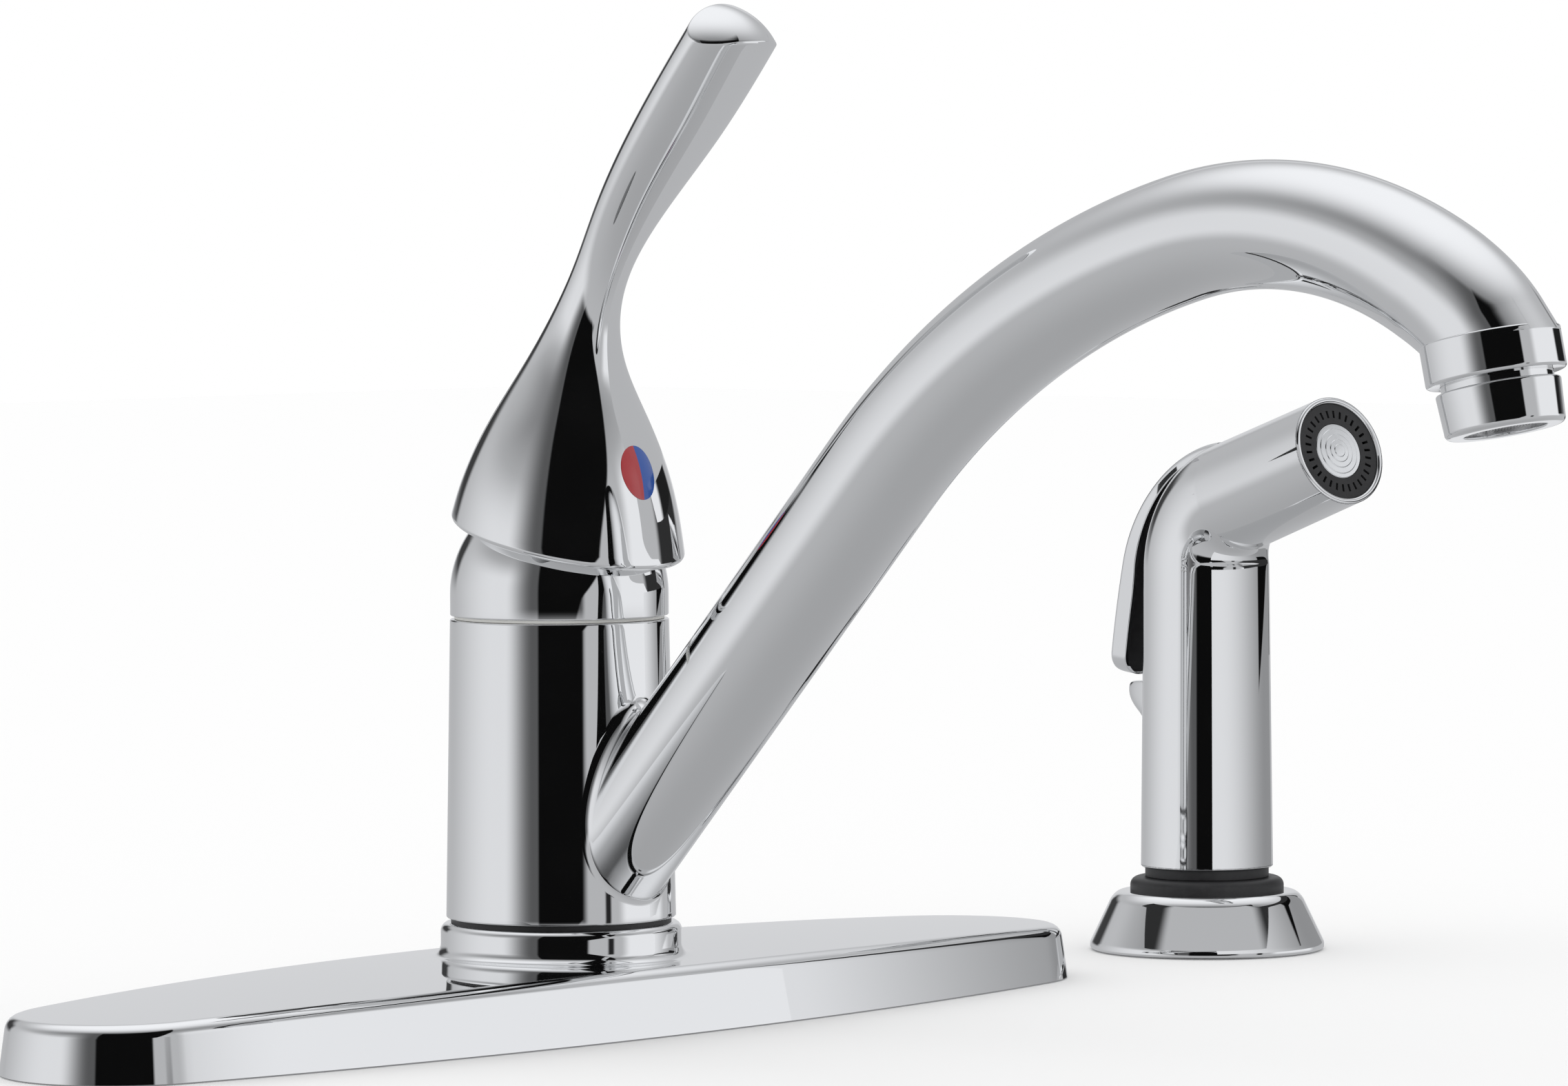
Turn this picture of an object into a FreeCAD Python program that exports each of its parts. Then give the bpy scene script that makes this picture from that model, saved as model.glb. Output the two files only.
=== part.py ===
import FreeCAD, Part
import math
import os
import Sketcher
from FreeCAD import Placement, Rotation, Vector
from types import SimpleNamespace

# A single-lever kitchen faucet on a deck plate, with a side spray in its own holder.
# Millimetres. The deck's top is Z 0, the body's axis is the Z axis and the front is -Y.

SIZES = (
    ("plate_length", 260.0, "deck plate, end to end"),
    ("plate_mid_width", 64.0, "deck plate, front to back at the middle"),
    ("plate_end_radius", 21.5, "rounding of the plate's ends"),
    ("plate_draft", 8.0, "lean of the plate's sides, degrees"),
    ("plate_height", 12.8, "deck to the plate's crown at the middle"),
    ("plate_long_fall", 2.9, "fall of the crown from the middle to the ends"),
    ("plate_cross_fall", 1.0, "fall of the crown from the middle to the sides"),
    ("plate_edge_round", 2.6, "rounding of the plate's top edge"),
    ("plate_wall", 3.0, "wall of the plate's skirt"),
    ("plate_hollow", 6.8, "height of the hollow under the plate"),
    ("collar_radius", 22.2, "raised collar on the plate"),
    ("collar_top", 18.6, "deck to the collar's top"),
    ("collar_round", 1.6, "rounding of the collar's top edge"),
    ("collar_flare", 2.2, "fillet where the collar meets the plate"),
    ("gasket_thick", 3.0, "gasket under the plate"),
    ("fit_gap", 0.1, "clearance of pieces that slip together"),
    ("run_gap", 0.05, "clearance of faces that run on each other"),
    ("loose_gap", 0.4, "clearance of loose pieces"),
    ("stud_inset", 28.4, "plate's end to a mounting stud's axis"),
    ("stud_radius", 4.76, "mounting stud in the deck"),
    ("stud_thread", 4.5, "threaded ends of a mounting stud"),
    ("stud_drop", 48.0, "how far the studs reach below the deck"),
    ("stud_grip", 8.4, "height of the stud's top in its boss"),
    ("boss_radius", 8.5, "stud boss under the plate"),
    ("deck_grip", 18.0, "thickness of the deck that is clamped"),
    ("washer_radius", 16.0, "mounting washer"),
    ("washer_thick", 2.0, "mounting washer, and the spray's"),
    ("nut_radius", 10.4, "mounting nut, over its corners"),
    ("nut_height", 8.0, "mounting nut"),
    ("body_radius", 16.6, "valve body barrel"),
    ("body_top", 80.0, "deck to the valve body's top"),
    ("flange_radius", 24.0, "valve body flange under the plate"),
    ("flange_low", 0.6, "underside of the valve body flange"),
    ("shank_radius", 15.5, "valve body shank through the deck"),
    ("shank_drop", 22.0, "how far the shank reaches below the deck"),
    ("ring_wire", 1.1, "half the thickness of a body o-ring"),
    ("ring_low", 24.0, "height of the lower body o-ring"),
    ("ring_high", 69.0, "height of the upper body o-ring"),
    ("ring_room", 0.3, "spare height on each side of a body o-ring"),
    ("channel_low", 29.0, "underside of the water channel round the body"),
    ("channel_high", 45.0, "top of the water channel round the body"),
    ("channel_depth", 1.2, "depth of the water channel"),
    ("port_height", 37.0, "height of the outlet port and the diverter"),
    ("port_radius", 3.0, "drilled water ways"),
    ("inlet_spread", 16.0, "distance between the two inlets"),
    ("outlet_back", 7.5, "mixed water way, behind the axis"),
    ("inlet_spigot", 5.0, "screwed end of an inlet fitting"),
    ("inlet_depth", 12.0, "length of that screwed end"),
    ("inlet_collar", 7.4, "collar of an inlet fitting"),
    ("inlet_collar_high", 4.0, "height of that collar"),
    ("inlet_radius", 4.76, "tube end of an inlet fitting"),
    ("inlet_reach", 15.0, "length of that tube end"),
    ("spray_way", 10.2, "spray outlet, ahead of the axis"),
    ("spray_spigot", 3.6, "screwed end of the spray outlet"),
    ("spray_collar", 4.9, "collar of the spray outlet"),
    ("spray_nipple", 4.4, "thread of the spray outlet"),
    ("spray_reach", 16.0, "length of that thread"),
    ("spray_bore", 2.2, "bore of the spray outlet"),
    ("diverter_radius", 4.2, "diverter piston"),
    ("diverter_length", 6.5, "diverter piston"),
    ("diverter_seat", 5.0, "bottom of the diverter's hole, ahead of the axis"),
    ("diverter_lip", 1.6, "seal on the diverter's end"),
    ("diverter_rest", 0.6, "room behind the diverter at rest"),
    ("hub_low_radius", 21.15, "spout hub at its foot"),
    ("hub_high_radius", 20.15, "spout hub at its top"),
    ("hub_low", 19.45, "deck to the hub's foot"),
    ("hub_high", 74.4, "deck to the hub's top"),
    ("hub_bore", 17.2, "bore of the spout hub"),
    ("glide_radius", 20.3, "lower glide ring"),
    ("upper_glide_radius", 19.3, "upper glide ring"),
    ("tube_radius", 10.95, "spout tube"),
    ("tube_wall", 1.8, "wall of the spout tube"),
    ("tube_root", 17.16, "height where the tube's line meets the body's axis"),
    ("tube_rise", 46.75, "rise of the tube's straight run, degrees"),
    ("tube_run", 117.6, "length of the straight run from the axis"),
    ("tube_long_bend", 148.0, "radius of the long bend"),
    ("tube_mid_rise", 14.4, "rise where the bends meet, degrees"),
    ("tube_short_bend", 73.5, "radius of the short bend"),
    ("tube_end_rise", -30.24, "rise where the short bend ends, degrees"),
    ("tube_port", 5.0, "radius of the port between the hub and the tube"),
    ("tube_blend", 2.5, "fillet where the tube meets the hub"),
    ("tube_tail_rise", -52.0, "rise where the tube meets the end collar, degrees"),
    ("tube_tail_slim", 0.3, "narrowing of the tube towards the end collar"),
    ("tube_sink", 1.0, "how far the tube goes into the end collar"),
    ("outlet_lean", 12.5, "lean of the outlet from upright, degrees"),
    ("outlet_ahead", 10.33, "short bend's end to the end collar's top, forward"),
    ("outlet_drop", 8.37, "short bend's end to the end collar's top, downward"),
    ("end_radius", 11.8, "end collar of the spout"),
    ("end_length", 7.1, "end collar of the spout"),
    ("end_thread", 9.5, "thread in the end collar"),
    ("aerator_radius", 10.5, "aerator housing under the collar"),
    ("aerator_foot", 10.05, "aerator housing at its foot"),
    ("aerator_length", 7.6, "aerator housing under the collar"),
    ("aerator_gap", 1.3, "groove between the collar and the housing"),
    ("aerator_wall", 1.5, "wall of the aerator housing"),
    ("aerator_lip", 1.0, "inward lip at the aerator's foot"),
    ("screen_thick", 0.6, "aerator screen"),
    ("aerator_washer", 1.6, "rubber washer above the aerator"),
    ("bonnet_low", 75.0, "deck to the bonnet's foot"),
    ("bonnet_radius", 20.1, "bonnet and its dome"),
    ("bonnet_mouth", 13.0, "opening in the bonnet's dome"),
    ("pivot_height", 79.0, "deck to the lever's pivot, the dome's centre"),
    ("cartridge_radius", 13.1, "cartridge housing"),
    ("cartridge_cavity", 11.6, "hollow of the cartridge housing"),
    ("cartridge_neck", 11.0, "neck of the cartridge housing"),
    ("carrier_rise", 7.0, "pivot to the top of the neck and the stem carrier"),
    ("cartridge_flange", 15.6, "flange of the cartridge housing"),
    ("cartridge_flange_high", 1.55, "height of that flange"),
    ("seal_thick", 1.4, "seals under the cartridge"),
    ("seal_radius", 3.8, "seals under the cartridge"),
    ("base_thick", 5.0, "cartridge base"),
    ("disc_thick", 3.0, "ceramic discs and the disc driver"),
    ("disc_radius", 9.0, "moving ceramic disc"),
    ("disc_gap", 0.02, "film between the ceramic discs"),
    ("carrier_radius", 8.6, "stem carrier"),
    ("carrier_foot", 11.2, "foot of the stem carrier"),
    ("carrier_drop", 6.25, "pivot to the underside of the carrier's foot"),
    ("carrier_foot_high", 2.95, "height of the carrier's foot"),
    ("driver_gap", 0.33, "room between the disc driver and the stem carrier"),
    ("pin_radius", 1.5, "pivot pin"),
    ("stem_wide", 6.8, "lever stem, across"),
    ("stem_deep", 7.8, "lever stem, front to back"),
    ("stem_eye", 4.0, "eye of the lever stem"),
    ("stem_nose", 2.4, "nose of the lever stem"),
    ("nose_lift", 0.18, "room under the stem's nose"),
    ("stem_reach", 32.0, "pivot to the stem's top"),
    ("slot_half", 6.3, "half length of the carrier's slot"),
    ("nose_room", 0.25, "clearance round the stem's nose"),
    ("handle_tilt", 12.0, "forward tilt of the closed handle, degrees"),
    ("handle_cavity", 20.9, "hollow of the handle, round the pivot"),
    ("handle_rim", 10.3, "pivot to the rim's plane"),
    ("rim_tilt", 14.5, "forward tilt of the rim's plane, degrees"),
    ("rim_round", 1.0, "rounding of the rim's outer edge"),
    ("lever_tip_reach", 47.5, "body's axis to the lever's tip"),
    ("lever_tip_height", 183.7, "deck to the lever's tip"),
    ("lever_lean", 39.7, "forward lean of the lever's blade, degrees"),
    ("lever_dome", 13.5, "radius of the lever's rounded end"),
    ("lever_edge", 0.8, "rounding of the lever's end"),
    ("screw_radius", 2.5, "set screw"),
    ("screw_length", 6.6, "set screw"),
    ("screw_height", 25.5, "pivot to the set screw"),
    ("button_half_width", 4.0, "temperature button, half across"),
    ("button_half_height", 5.0, "temperature button, half its height"),
    ("button_depth", 3.4, "temperature button, behind its face"),
    ("button_out", 20.9, "body's axis to the button's face"),
    ("button_height", 101.6, "deck to the button's centre"),
    ("button_lean", 21.0, "backward lean of the button, degrees"),
    ("button_dome", 14.0, "radius of the button's face"),
    ("holder_x", 183.4, "body's axis to the spray holder"),
    ("spray_turn", -9.0, "turn of the resting spray, degrees"),
    ("holder_radius", 23.5, "spray flange at its foot"),
    ("holder_edge", 1.2, "upright edge of the spray flange"),
    ("holder_top_radius", 19.2, "spray flange at its shoulder"),
    ("holder_shoulder", 10.2, "deck to that shoulder"),
    ("holder_top", 11.6, "deck to the flange's top"),
    ("holder_wall", 2.4, "wall of the spray flange"),
    ("guide_radius", 12.0, "shank of the spray guide"),
    ("guide_ring", 15.4, "ring of the spray guide"),
    ("guide_top", 14.4, "deck to the guide's top"),
    ("guide_bore", 9.6, "bore of the spray guide"),
    ("guide_mouth", 11.4, "mouth of the spray guide"),
    ("guide_taper", 9.0, "depth of the tapered mouth"),
    ("guide_drop", 36.0, "how far the guide reaches below the deck"),
    ("guide_nut", 17.0, "nut of the spray guide, over its corners"),
    ("guide_nut_high", 9.0, "nut of the spray guide"),
    ("wand_neck", 12.4, "black neck of the wand"),
    ("wand_neck_high", 1.8, "black neck of the wand"),
    ("wand_plug", 8.4, "length of the wand's tapered plug"),
    ("plug_gap", 0.15, "clearance of the plug in the guide"),
    ("wand_low_radius", 13.25, "wand shell at its foot"),
    ("wand_high_radius", 12.6, "wand shell under its bend"),
    ("wand_head_radius", 11.2, "wand shell past its bend"),
    ("wand_face_radius", 10.9, "wand shell at its face"),
    ("wand_elbow", 87.8, "deck to the crossing of the wand's two axes"),
    ("wand_bend", 14.5, "bend radius of the wand's axis"),
    ("wand_head_rise", 18.0, "rise of the wand's head, degrees"),
    ("wand_head_reach", 42.4, "wand's axis to its face, along the head"),
    ("wand_wall", 1.2, "wall of the wand shell"),
    ("face_depth", 3.0, "slotted face ring"),
    ("face_disc", 5.6, "centre disc of the spray's face"),
    ("face_slits", 30.0, "number of slits in the face ring"),
    ("slit_wide", 0.5, "width of a slit"),
    ("slit_inner", 6.8, "inner end of the slits"),
    ("slit_outer", 8.3, "outer end of the slits"),
    ("water_tube", 4.6, "water tube in the wand"),
    ("water_bore", 2.8, "bore of the water tube"),
    ("nipple_radius", 4.8, "hose fitting of the wand"),
    ("nipple_spigot", 4.2, "end of the hose fitting in the neck"),
    ("nipple_low", -10.0, "lower end of the hose fitting"),
    ("trigger_half", 9.0, "half width of the thumb lever, at its lower end"),
    ("trigger_mid_half", 7.5, "half width of the thumb lever, beside the bend"),
    ("trigger_top_half", 2.6, "half width of the thumb lever, at its top"),
    ("trigger_thick", 2.2, "thickness of the thumb lever's back"),
    ("trigger_wall", 1.4, "thickness of the thumb lever's sides"),
    ("trigger_skirt", 3.0, "depth of the thumb lever's sides"),
    ("trigger_low", 55.0, "deck to the thumb lever's lower end"),
    ("trigger_out", 20.2, "wand's axis to the lever's back, at its lower end"),
    ("trigger_mid_out", 17.8, "wand's axis to the lever's back, beside the bend"),
    ("trigger_corner", 4.0, "rounding of the thumb lever's lower corners"),
    ("trigger_edge", 1.2, "rounding of the thumb lever's back edges"),
    ("trigger_room", 1.9, "room under the thumb lever in the bend"),
    ("trigger_pin", 1.3, "pin of the thumb lever"),
    ("trigger_pin_half", 8.0, "half length of that pin"),
    ("trigger_pin_drop", 4.0, "depth of that pin under the head's top"),
    ("trigger_pin_ahead", 9.0, "elbow to that pin, along the head"),
    ("trigger_eye", 2.3, "eye of the thumb lever"),
    ("trigger_tab", 4.0, "width of the thumb lever's eye"),
    ("rest_half", 6.4, "half width of the rest under the thumb lever"),
    ("rest_out", 18.4, "wand's axis to the back of that rest"),
    ("rest_low", 47.6, "deck to the foot of that rest"),
    ("rest_high", 53.1, "deck to the top of that rest"),
    ("rest_edge", 1.5, "rounding of that rest's sides"),
    ("valve_height", 75.2, "deck to the spray valve's stem"),
    ("valve_radius", 2.0, "spray valve's stem"),
    ("valve_inner", 1.2, "inner end of the spray valve's stem"),
    ("valve_collar", 3.2, "collar of the spray valve's stem"),
    ("valve_collar_thick", 1.0, "collar of the spray valve's stem"),
    ("spring_radius", 2.6, "spray valve's spring, at its wire's middle"),
    ("spring_wire", 0.35, "half the thickness of that spring's wire"),
    ("spring_turns", 5.0, "turns of that spring"),
)

# Level sections of the handle, foot to tip: height, how far ahead of the axis, half width, half depth.
HANDLE_FORM = (
    ("rim", 82.4, 1.1, 22.75, 22.75),
    ("skirt", 99.3, 1.9, 19.4, 19.4),
    ("shoulder", 111.0, 2.8, 14.55, 14.55),
    ("waist", 121.0, 4.3, 9.2, 9.6),
    ("throat", 129.0, 6.8, 6.3, 6.9),
    ("neck", 138.0, 11.2, 5.1, 5.8),
    ("root", 150.0, 19.3, 6.8, 6.8),
    ("blade", 162.0, 29.2, 9.1, 7.9),
    ("end", 175.0, 40.0, 10.3, 7.7),
    ("tip", 192.0, 54.0, 10.0, 7.4),
)
for name, *values in HANDLE_FORM:
    for measure, value in zip(("height", "ahead", "half_width", "half_depth"), values):
        SIZES += ((f"form_{name}_{measure}", value, f"handle at its {name}, {measure.replace('_', ' ')}"),)

doc = FreeCAD.newDocument("faucet")
sheet = doc.addObject("Spreadsheet::Sheet", "Sizes")
for row, (alias, number, note) in enumerate(SIZES, 1):
    sheet.set(f"A{row}", note)
    sheet.set(f"B{row}", str(number))
    sheet.setAlias(f"B{row}", alias)
doc.recompute()


class Size:
    """A number together with the spreadsheet formula that gives it."""

    def __init__(self, number, formula):
        self.number = number
        self.formula = formula

    def __add__(self, other):
        other = as_size(other)
        return Size(self.number + other.number, f"({self.formula} + {other.formula})")

    def __sub__(self, other):
        other = as_size(other)
        return Size(self.number - other.number, f"({self.formula} - {other.formula})")

    def __mul__(self, other):
        other = as_size(other)
        return Size(self.number * other.number, f"({self.formula} * {other.formula})")

    def __truediv__(self, other):
        other = as_size(other)
        return Size(self.number / other.number, f"({self.formula} / {other.formula})")

    def __radd__(self, other):
        return as_size(other) + self

    def __rsub__(self, other):
        return as_size(other) - self

    def __rmul__(self, other):
        return as_size(other) * self

    def __neg__(self):
        return Size(-self.number, f"(0 - {self.formula})")


def as_size(value):
    return value if isinstance(value, Size) else Size(float(value), f"{float(value):.6f}")


def root(size):
    return Size(math.sqrt(size.number), f"sqrt({size.formula})")


def sine(size):
    return Size(math.sin(math.radians(size.number)), f"sin({size.formula})")


def cosine(size):
    return Size(math.cos(math.radians(size.number)), f"cos({size.formula})")


dim = SimpleNamespace(**{alias: Size(number, f"Sizes.{alias}") for alias, number, note in SIZES})
num = SimpleNamespace(**{alias: number for alias, number, note in SIZES})


def bind(thing, prop, size):
    thing.setExpression(prop, as_size(size).formula)


def place(thing, at, axis=None, angle=0.0):
    """Puts a thing at a point, turned about an axis, both from the sheet."""
    at = [as_size(value) for value in at]
    turn = Rotation(axis, as_size(angle).number) if axis else Rotation()
    thing.Placement = Placement(Vector(*[value.number for value in at]), turn)
    for name, value in zip("xyz", at):
        bind(thing, f"Placement.Base.{name}", value)
    if axis and isinstance(angle, Size):
        bind(thing, "Placement.Rotation.Angle", angle)
    return thing


def arc_between(start, end, radius):
    """An arc of a given radius; a positive one keeps its centre on the left of the way."""
    chord = end - start
    left = Vector(-chord.y, chord.x, 0).normalize()
    rise = math.sqrt(max(radius * radius - chord.Length ** 2 / 4, 0))
    side = 1 if radius > 0 else -1
    centre = (start + end) * 0.5 + left * rise * side
    first, last = (start, end) if radius > 0 else (end, start)
    angles = [math.atan2(p.y - centre.y, p.x - centre.x) for p in (first, last)]
    return Part.ArcOfCircle(Part.Circle(centre, Vector(0, 0, 1), abs(radius)), *angles)


def draw(sketch, outline):
    """Adds a closed outline; each point is (x, y) or (x, y, radius of the arc that follows)."""
    points = [tuple(as_size(value) for value in point) for point in outline]
    spots = [Vector(point[0].number, point[1].number, 0) for point in points]
    heads = []
    for index, point in enumerate(points):
        start, end = spots[index], spots[(index + 1) % len(points)]
        if len(point) == 3:
            edge = sketch.addGeometry(arc_between(start, end, point[2].number))
            heads.append((edge, 1, 2) if point[2].number > 0 else (edge, 2, 1))
        else:
            heads.append((sketch.addGeometry(Part.LineSegment(start, end)), 1, 2))
    for index, (edge, first, last) in enumerate(heads):
        follower = heads[(index + 1) % len(heads)]
        sketch.addConstraint(Sketcher.Constraint("Coincident", edge, last, follower[0], follower[1]))
    for (edge, first, last), point in zip(heads, points):
        limits = [("DistanceX", point[0], first), ("DistanceY", point[1], first)]
        if len(point) == 3:
            limits.append(("Radius", point[2] if point[2].number > 0 else -point[2], None))
        for kind, value, end in limits:
            ends = (edge,) if end is None else (edge, end)
            number = sketch.addConstraint(Sketcher.Constraint(kind, *ends, value.number))
            bind(sketch, f"Constraints[{number}]", value)


def circle(sketch, radius, x=0.0, y=0.0):
    x, y, radius = as_size(x), as_size(y), as_size(radius)
    spot = Vector(x.number, y.number, 0)
    edge = sketch.addGeometry(Part.Circle(spot, Vector(0, 0, 1), radius.number))
    for kind, ends, value in (("DistanceX", (edge, 3), x), ("DistanceY", (edge, 3), y), ("Radius", (edge,), radius)):
        number = sketch.addConstraint(Sketcher.Constraint(kind, *ends, value.number))
        bind(sketch, f"Constraints[{number}]", value)


def new_sketch(body, name, plane):
    sketch = body.newObject("Sketcher::SketchObject", name)
    support = [feature for feature in body.Origin.OriginFeatures if feature.Role == plane][0]
    sketch.AttachmentSupport = [(support, "")]
    sketch.MapMode = "FlatFace"
    return sketch


def new_body(name):
    return doc.addObject("PartDesign::Body", name)


def turn_on(body, outline, kind="Revolution", angle=360.0):
    """Turns an outline of (radius, height) points about the Z axis."""
    sketch = new_sketch(body, f"{body.Name}_{kind}_outline", "XZ_Plane")
    draw(sketch, outline)
    feature = body.newObject(f"PartDesign::{kind}", f"{body.Name}_{kind}")
    feature.Profile = sketch
    feature.ReferenceAxis = (sketch, ["V_Axis"])
    feature.Angle = angle
    return feature


def turned(name, outline):
    body = new_body(name)
    turn_on(body, outline)
    return body


def raise_from(body, low, high, drawer, kind="Pad", taper=None):
    """Pads or pockets what a drawing function puts on a level, from one height to another."""
    sketch = new_sketch(body, f"{body.Name}_{kind}_outline", "XY_Plane")
    sketch.AttachmentOffset = Placement(Vector(0, 0, as_size(low).number), Rotation())
    bind(sketch, "AttachmentOffset.Base.z", low)
    drawer(sketch)
    feature = body.newObject(f"PartDesign::{kind}", f"{body.Name}_{kind}")
    feature.Profile = sketch
    bind(feature, "Length", high - as_size(low))
    if kind == "Pocket":
        feature.Reversed = True
    if taper is not None:
        bind(feature, "TaperAngle", taper)
    return feature


def ring_edges(shape, radius, height):
    """Names of the circles of one radius at one height."""
    radius, height = as_size(radius).number, as_size(height).number
    names = []
    for index, edge in enumerate(shape.Edges, 1):
        curve = edge.Curve
        if isinstance(curve, Part.Circle) and abs(curve.Radius - radius) < 1e-4 and abs(curve.Center.z - height) < 1e-4:
            names.append(f"Edge{index}")
    return names


def fillet(body, edges, radius):
    base = body.Tip
    feature = body.newObject("PartDesign::Fillet", f"{body.Name}_Fillet")
    feature.Base = (base, edges)
    bind(feature, "Radius", radius)
    doc.recompute()
    return feature


def cylinder(name, radius, length, at=(0, 0, 0), axis=None, angle=0.0):
    thing = doc.addObject("Part::Cylinder", name)
    bind(thing, "Radius", radius)
    bind(thing, "Height", length)
    return place(thing, at, axis, angle)


def torus(name, radius, wire, at):
    thing = doc.addObject("Part::Torus", name)
    bind(thing, "Radius1", radius)
    bind(thing, "Radius2", wire)
    return place(thing, at)


def merged(name, things):
    if len(things) == 1:
        return things[0]
    fuse = doc.addObject("Part::MultiFuse", name)
    fuse.Shapes = things
    return fuse


def cut(name, base, tools):
    result = doc.addObject("Part::Cut", name)
    result.Base = base
    result.Tool = merged(f"{name}_tools", tools)
    return result


def group(name, things):
    result = doc.addObject("Part::Compound", name)
    result.Links = things
    return result


def solid(name, shape):
    thing = doc.addObject("Part::Feature", name)
    thing.Shape = shape
    return thing


nodes = {}


def node(label, thing):
    thing.Label = label
    nodes[label] = thing
    return thing


ALONG_X = Vector(1, 0, 0)
ALONG_Y = Vector(0, 1, 0)
UPRIGHT = Vector(0, 0, 1)


# Deck plate: a drafted casting with bowed sides and ends, a crowned top, a hollow and a collar.
def plate_outline(inset):
    end = dim.plate_end_radius
    half = dim.plate_mid_width / 2
    centre = dim.plate_length / 2 - end
    side = (centre * centre + half * half - end * end) / (dim.plate_mid_width - 2 * end)

    def drawer(sketch):
        angle = math.atan2(side.number - half.number, centre.number)
        arcs = (
            (0.0, half - side, side - inset, angle, math.pi - angle),
            (-centre, 0.0, end - inset, math.pi - angle, math.pi + angle),
            (0.0, side - half, side - inset, math.pi + angle, 2 * math.pi - angle),
            (centre, 0.0, end - inset, -angle, angle),
        )
        for edge, (x, y, radius, first, last) in enumerate(arcs):
            x, y = as_size(x), as_size(y)
            ring = Part.Circle(Vector(x.number, y.number, 0), UPRIGHT, radius.number)
            sketch.addGeometry(Part.ArcOfCircle(ring, first, last))
            limits = [("Radius", (edge,), radius)]
            if edge in (1, 3):
                limits += [("DistanceX", (edge, 3), x), ("DistanceY", (edge, 3), y)]
            for kind, ends, value in limits:
                number = sketch.addConstraint(Sketcher.Constraint(kind, *ends, value.number))
                bind(sketch, f"Constraints[{number}]", value)
        for edge in range(4):
            sketch.addConstraint(Sketcher.Constraint("Tangent", edge, 2, (edge + 1) % 4, 1))

    return drawer


stud_reach = dim.plate_length / 2 - dim.stud_inset


def stud_circles(radius):
    def drawer(sketch):
        for side in (-1, 1):
            circle(sketch, radius, stud_reach * side)

    return drawer


def edges_where(shape, test):
    names = []
    for index, edge in enumerate(shape.Edges, 1):
        first, last = edge.ParameterRange
        points = [edge.valueAt(first + (last - first) * step / 6) for step in range(7)]
        if test(points):
            names.append(f"Edge{index}")
    return names


plate = new_body("DeckPlate")
raise_from(plate, 0.0, dim.collar_top, plate_outline(0.0), taper=-dim.plate_draft)

half_length = dim.plate_length / 2
half_width = dim.plate_mid_width / 2
long_radius = (half_length * half_length + dim.plate_long_fall * dim.plate_long_fall) / (2 * dim.plate_long_fall)
cross_radius = (half_width * half_width + dim.plate_cross_fall * dim.plate_cross_fall) / (2 * dim.plate_cross_fall)
crown = new_sketch(plate, "DeckPlate_crown_outline", "YZ_Plane")
crown.AttachmentOffset = Placement(Vector(0, (dim.plate_height - long_radius).number, 0), Rotation())
bind(crown, "AttachmentOffset.Base.y", dim.plate_height - long_radius)
crown_side = half_width + dim.plate_wall
crown_drop = long_radius - cross_radius + root(cross_radius * cross_radius - crown_side * crown_side)
draw(crown, (
    (-crown_side, crown_drop, -cross_radius),
    (crown_side, crown_drop),
    (crown_side, long_radius + dim.collar_top),
    (-crown_side, long_radius + dim.collar_top),
))
groove = plate.newObject("PartDesign::Groove", "DeckPlate_crown")
groove.Profile = crown
groove.ReferenceAxis = (crown, ["H_Axis"])
groove.Midplane = True
bind(groove, "Angle", 80 * dim.plate_length / long_radius)
doc.recompute()
top = edges_where(plate.Shape, lambda points: min(point.z for point in points) > num.plate_hollow)
fillet(plate, top, dim.plate_edge_round)
raise_from(plate, 0.0, dim.plate_hollow, plate_outline(dim.plate_wall), "Pocket")
raise_from(plate, dim.gasket_thick, dim.plate_hollow, stud_circles(dim.boss_radius))
raise_from(plate, 0.0, dim.stud_grip, stud_circles(dim.stud_thread + dim.run_gap), "Pocket")
collar_bore = dim.body_radius + dim.fit_gap
turn_on(plate, (
    (collar_bore, dim.plate_hollow),
    (dim.collar_radius, dim.plate_hollow),
    (dim.collar_radius, dim.collar_top),
    (collar_bore, dim.collar_top),
))
turn_on(plate, (
    (0.0, 0.0),
    (collar_bore, 0.0),
    (collar_bore, dim.collar_top),
    (0.0, dim.collar_top),
), "Groove")
doc.recompute()
fillet(plate, ring_edges(plate.Shape, dim.collar_radius, dim.collar_top), dim.collar_round)


def round_collar(points):
    reaches = [math.hypot(point.x, point.y) for point in points]
    heights = [point.z for point in points]
    near = max(abs(reach - num.collar_radius) for reach in reaches) < 1e-3
    return near and min(heights) > num.plate_hollow and max(heights) < num.plate_height + num.plate_cross_fall


joint = [
    name for name in edges_where(plate.Shape, round_collar)
    if max(face.BoundBox.XLength for face in plate.Shape.ancestorsOfType(plate.Shape.getElement(name), Part.Face))
    > 3 * num.collar_radius
]
fillet(plate, joint, dim.collar_flare)
node("deck_plate", plate)

# Gasket: a flat rubber sheet in the plate's hollow, open for the valve body and the studs.
gasket = new_body("BaseGasket")


def gasket_outline(sketch):
    plate_outline(dim.plate_wall + dim.loose_gap)(sketch)
    circle(sketch, dim.flange_radius + dim.loose_gap)
    stud_circles(dim.stud_radius + dim.loose_gap)(sketch)


raise_from(gasket, 0.0, dim.gasket_thick, gasket_outline)
node("base_gasket", gasket)


# Mounting studs, washers and nuts: a pair of each, clamping the deck from below.
def under_deck(name, maker):
    things = []
    for side, word in ((-1, "left"), (1, "right")):
        things.append(maker(f"{name}_{word}", stud_reach * side))
    return group(name, things)


def hexagon(name, radius, height, at):
    prism = doc.addObject("Part::Prism", name)
    prism.Polygon = 6
    bind(prism, "Circumradius", radius)
    bind(prism, "Height", height)
    return place(prism, at)


def stud(name, x):
    rod = turned(name, (
        (0.0, -dim.stud_drop),
        (dim.stud_thread, -dim.stud_drop),
        (dim.stud_thread, -dim.deck_grip),
        (dim.stud_radius, -dim.deck_grip),
        (dim.stud_radius, 0.0),
        (dim.stud_thread, 0.0),
        (dim.stud_thread, dim.stud_grip),
        (0.0, dim.stud_grip),
    ))
    return place(rod, (x, 0, 0))


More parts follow.
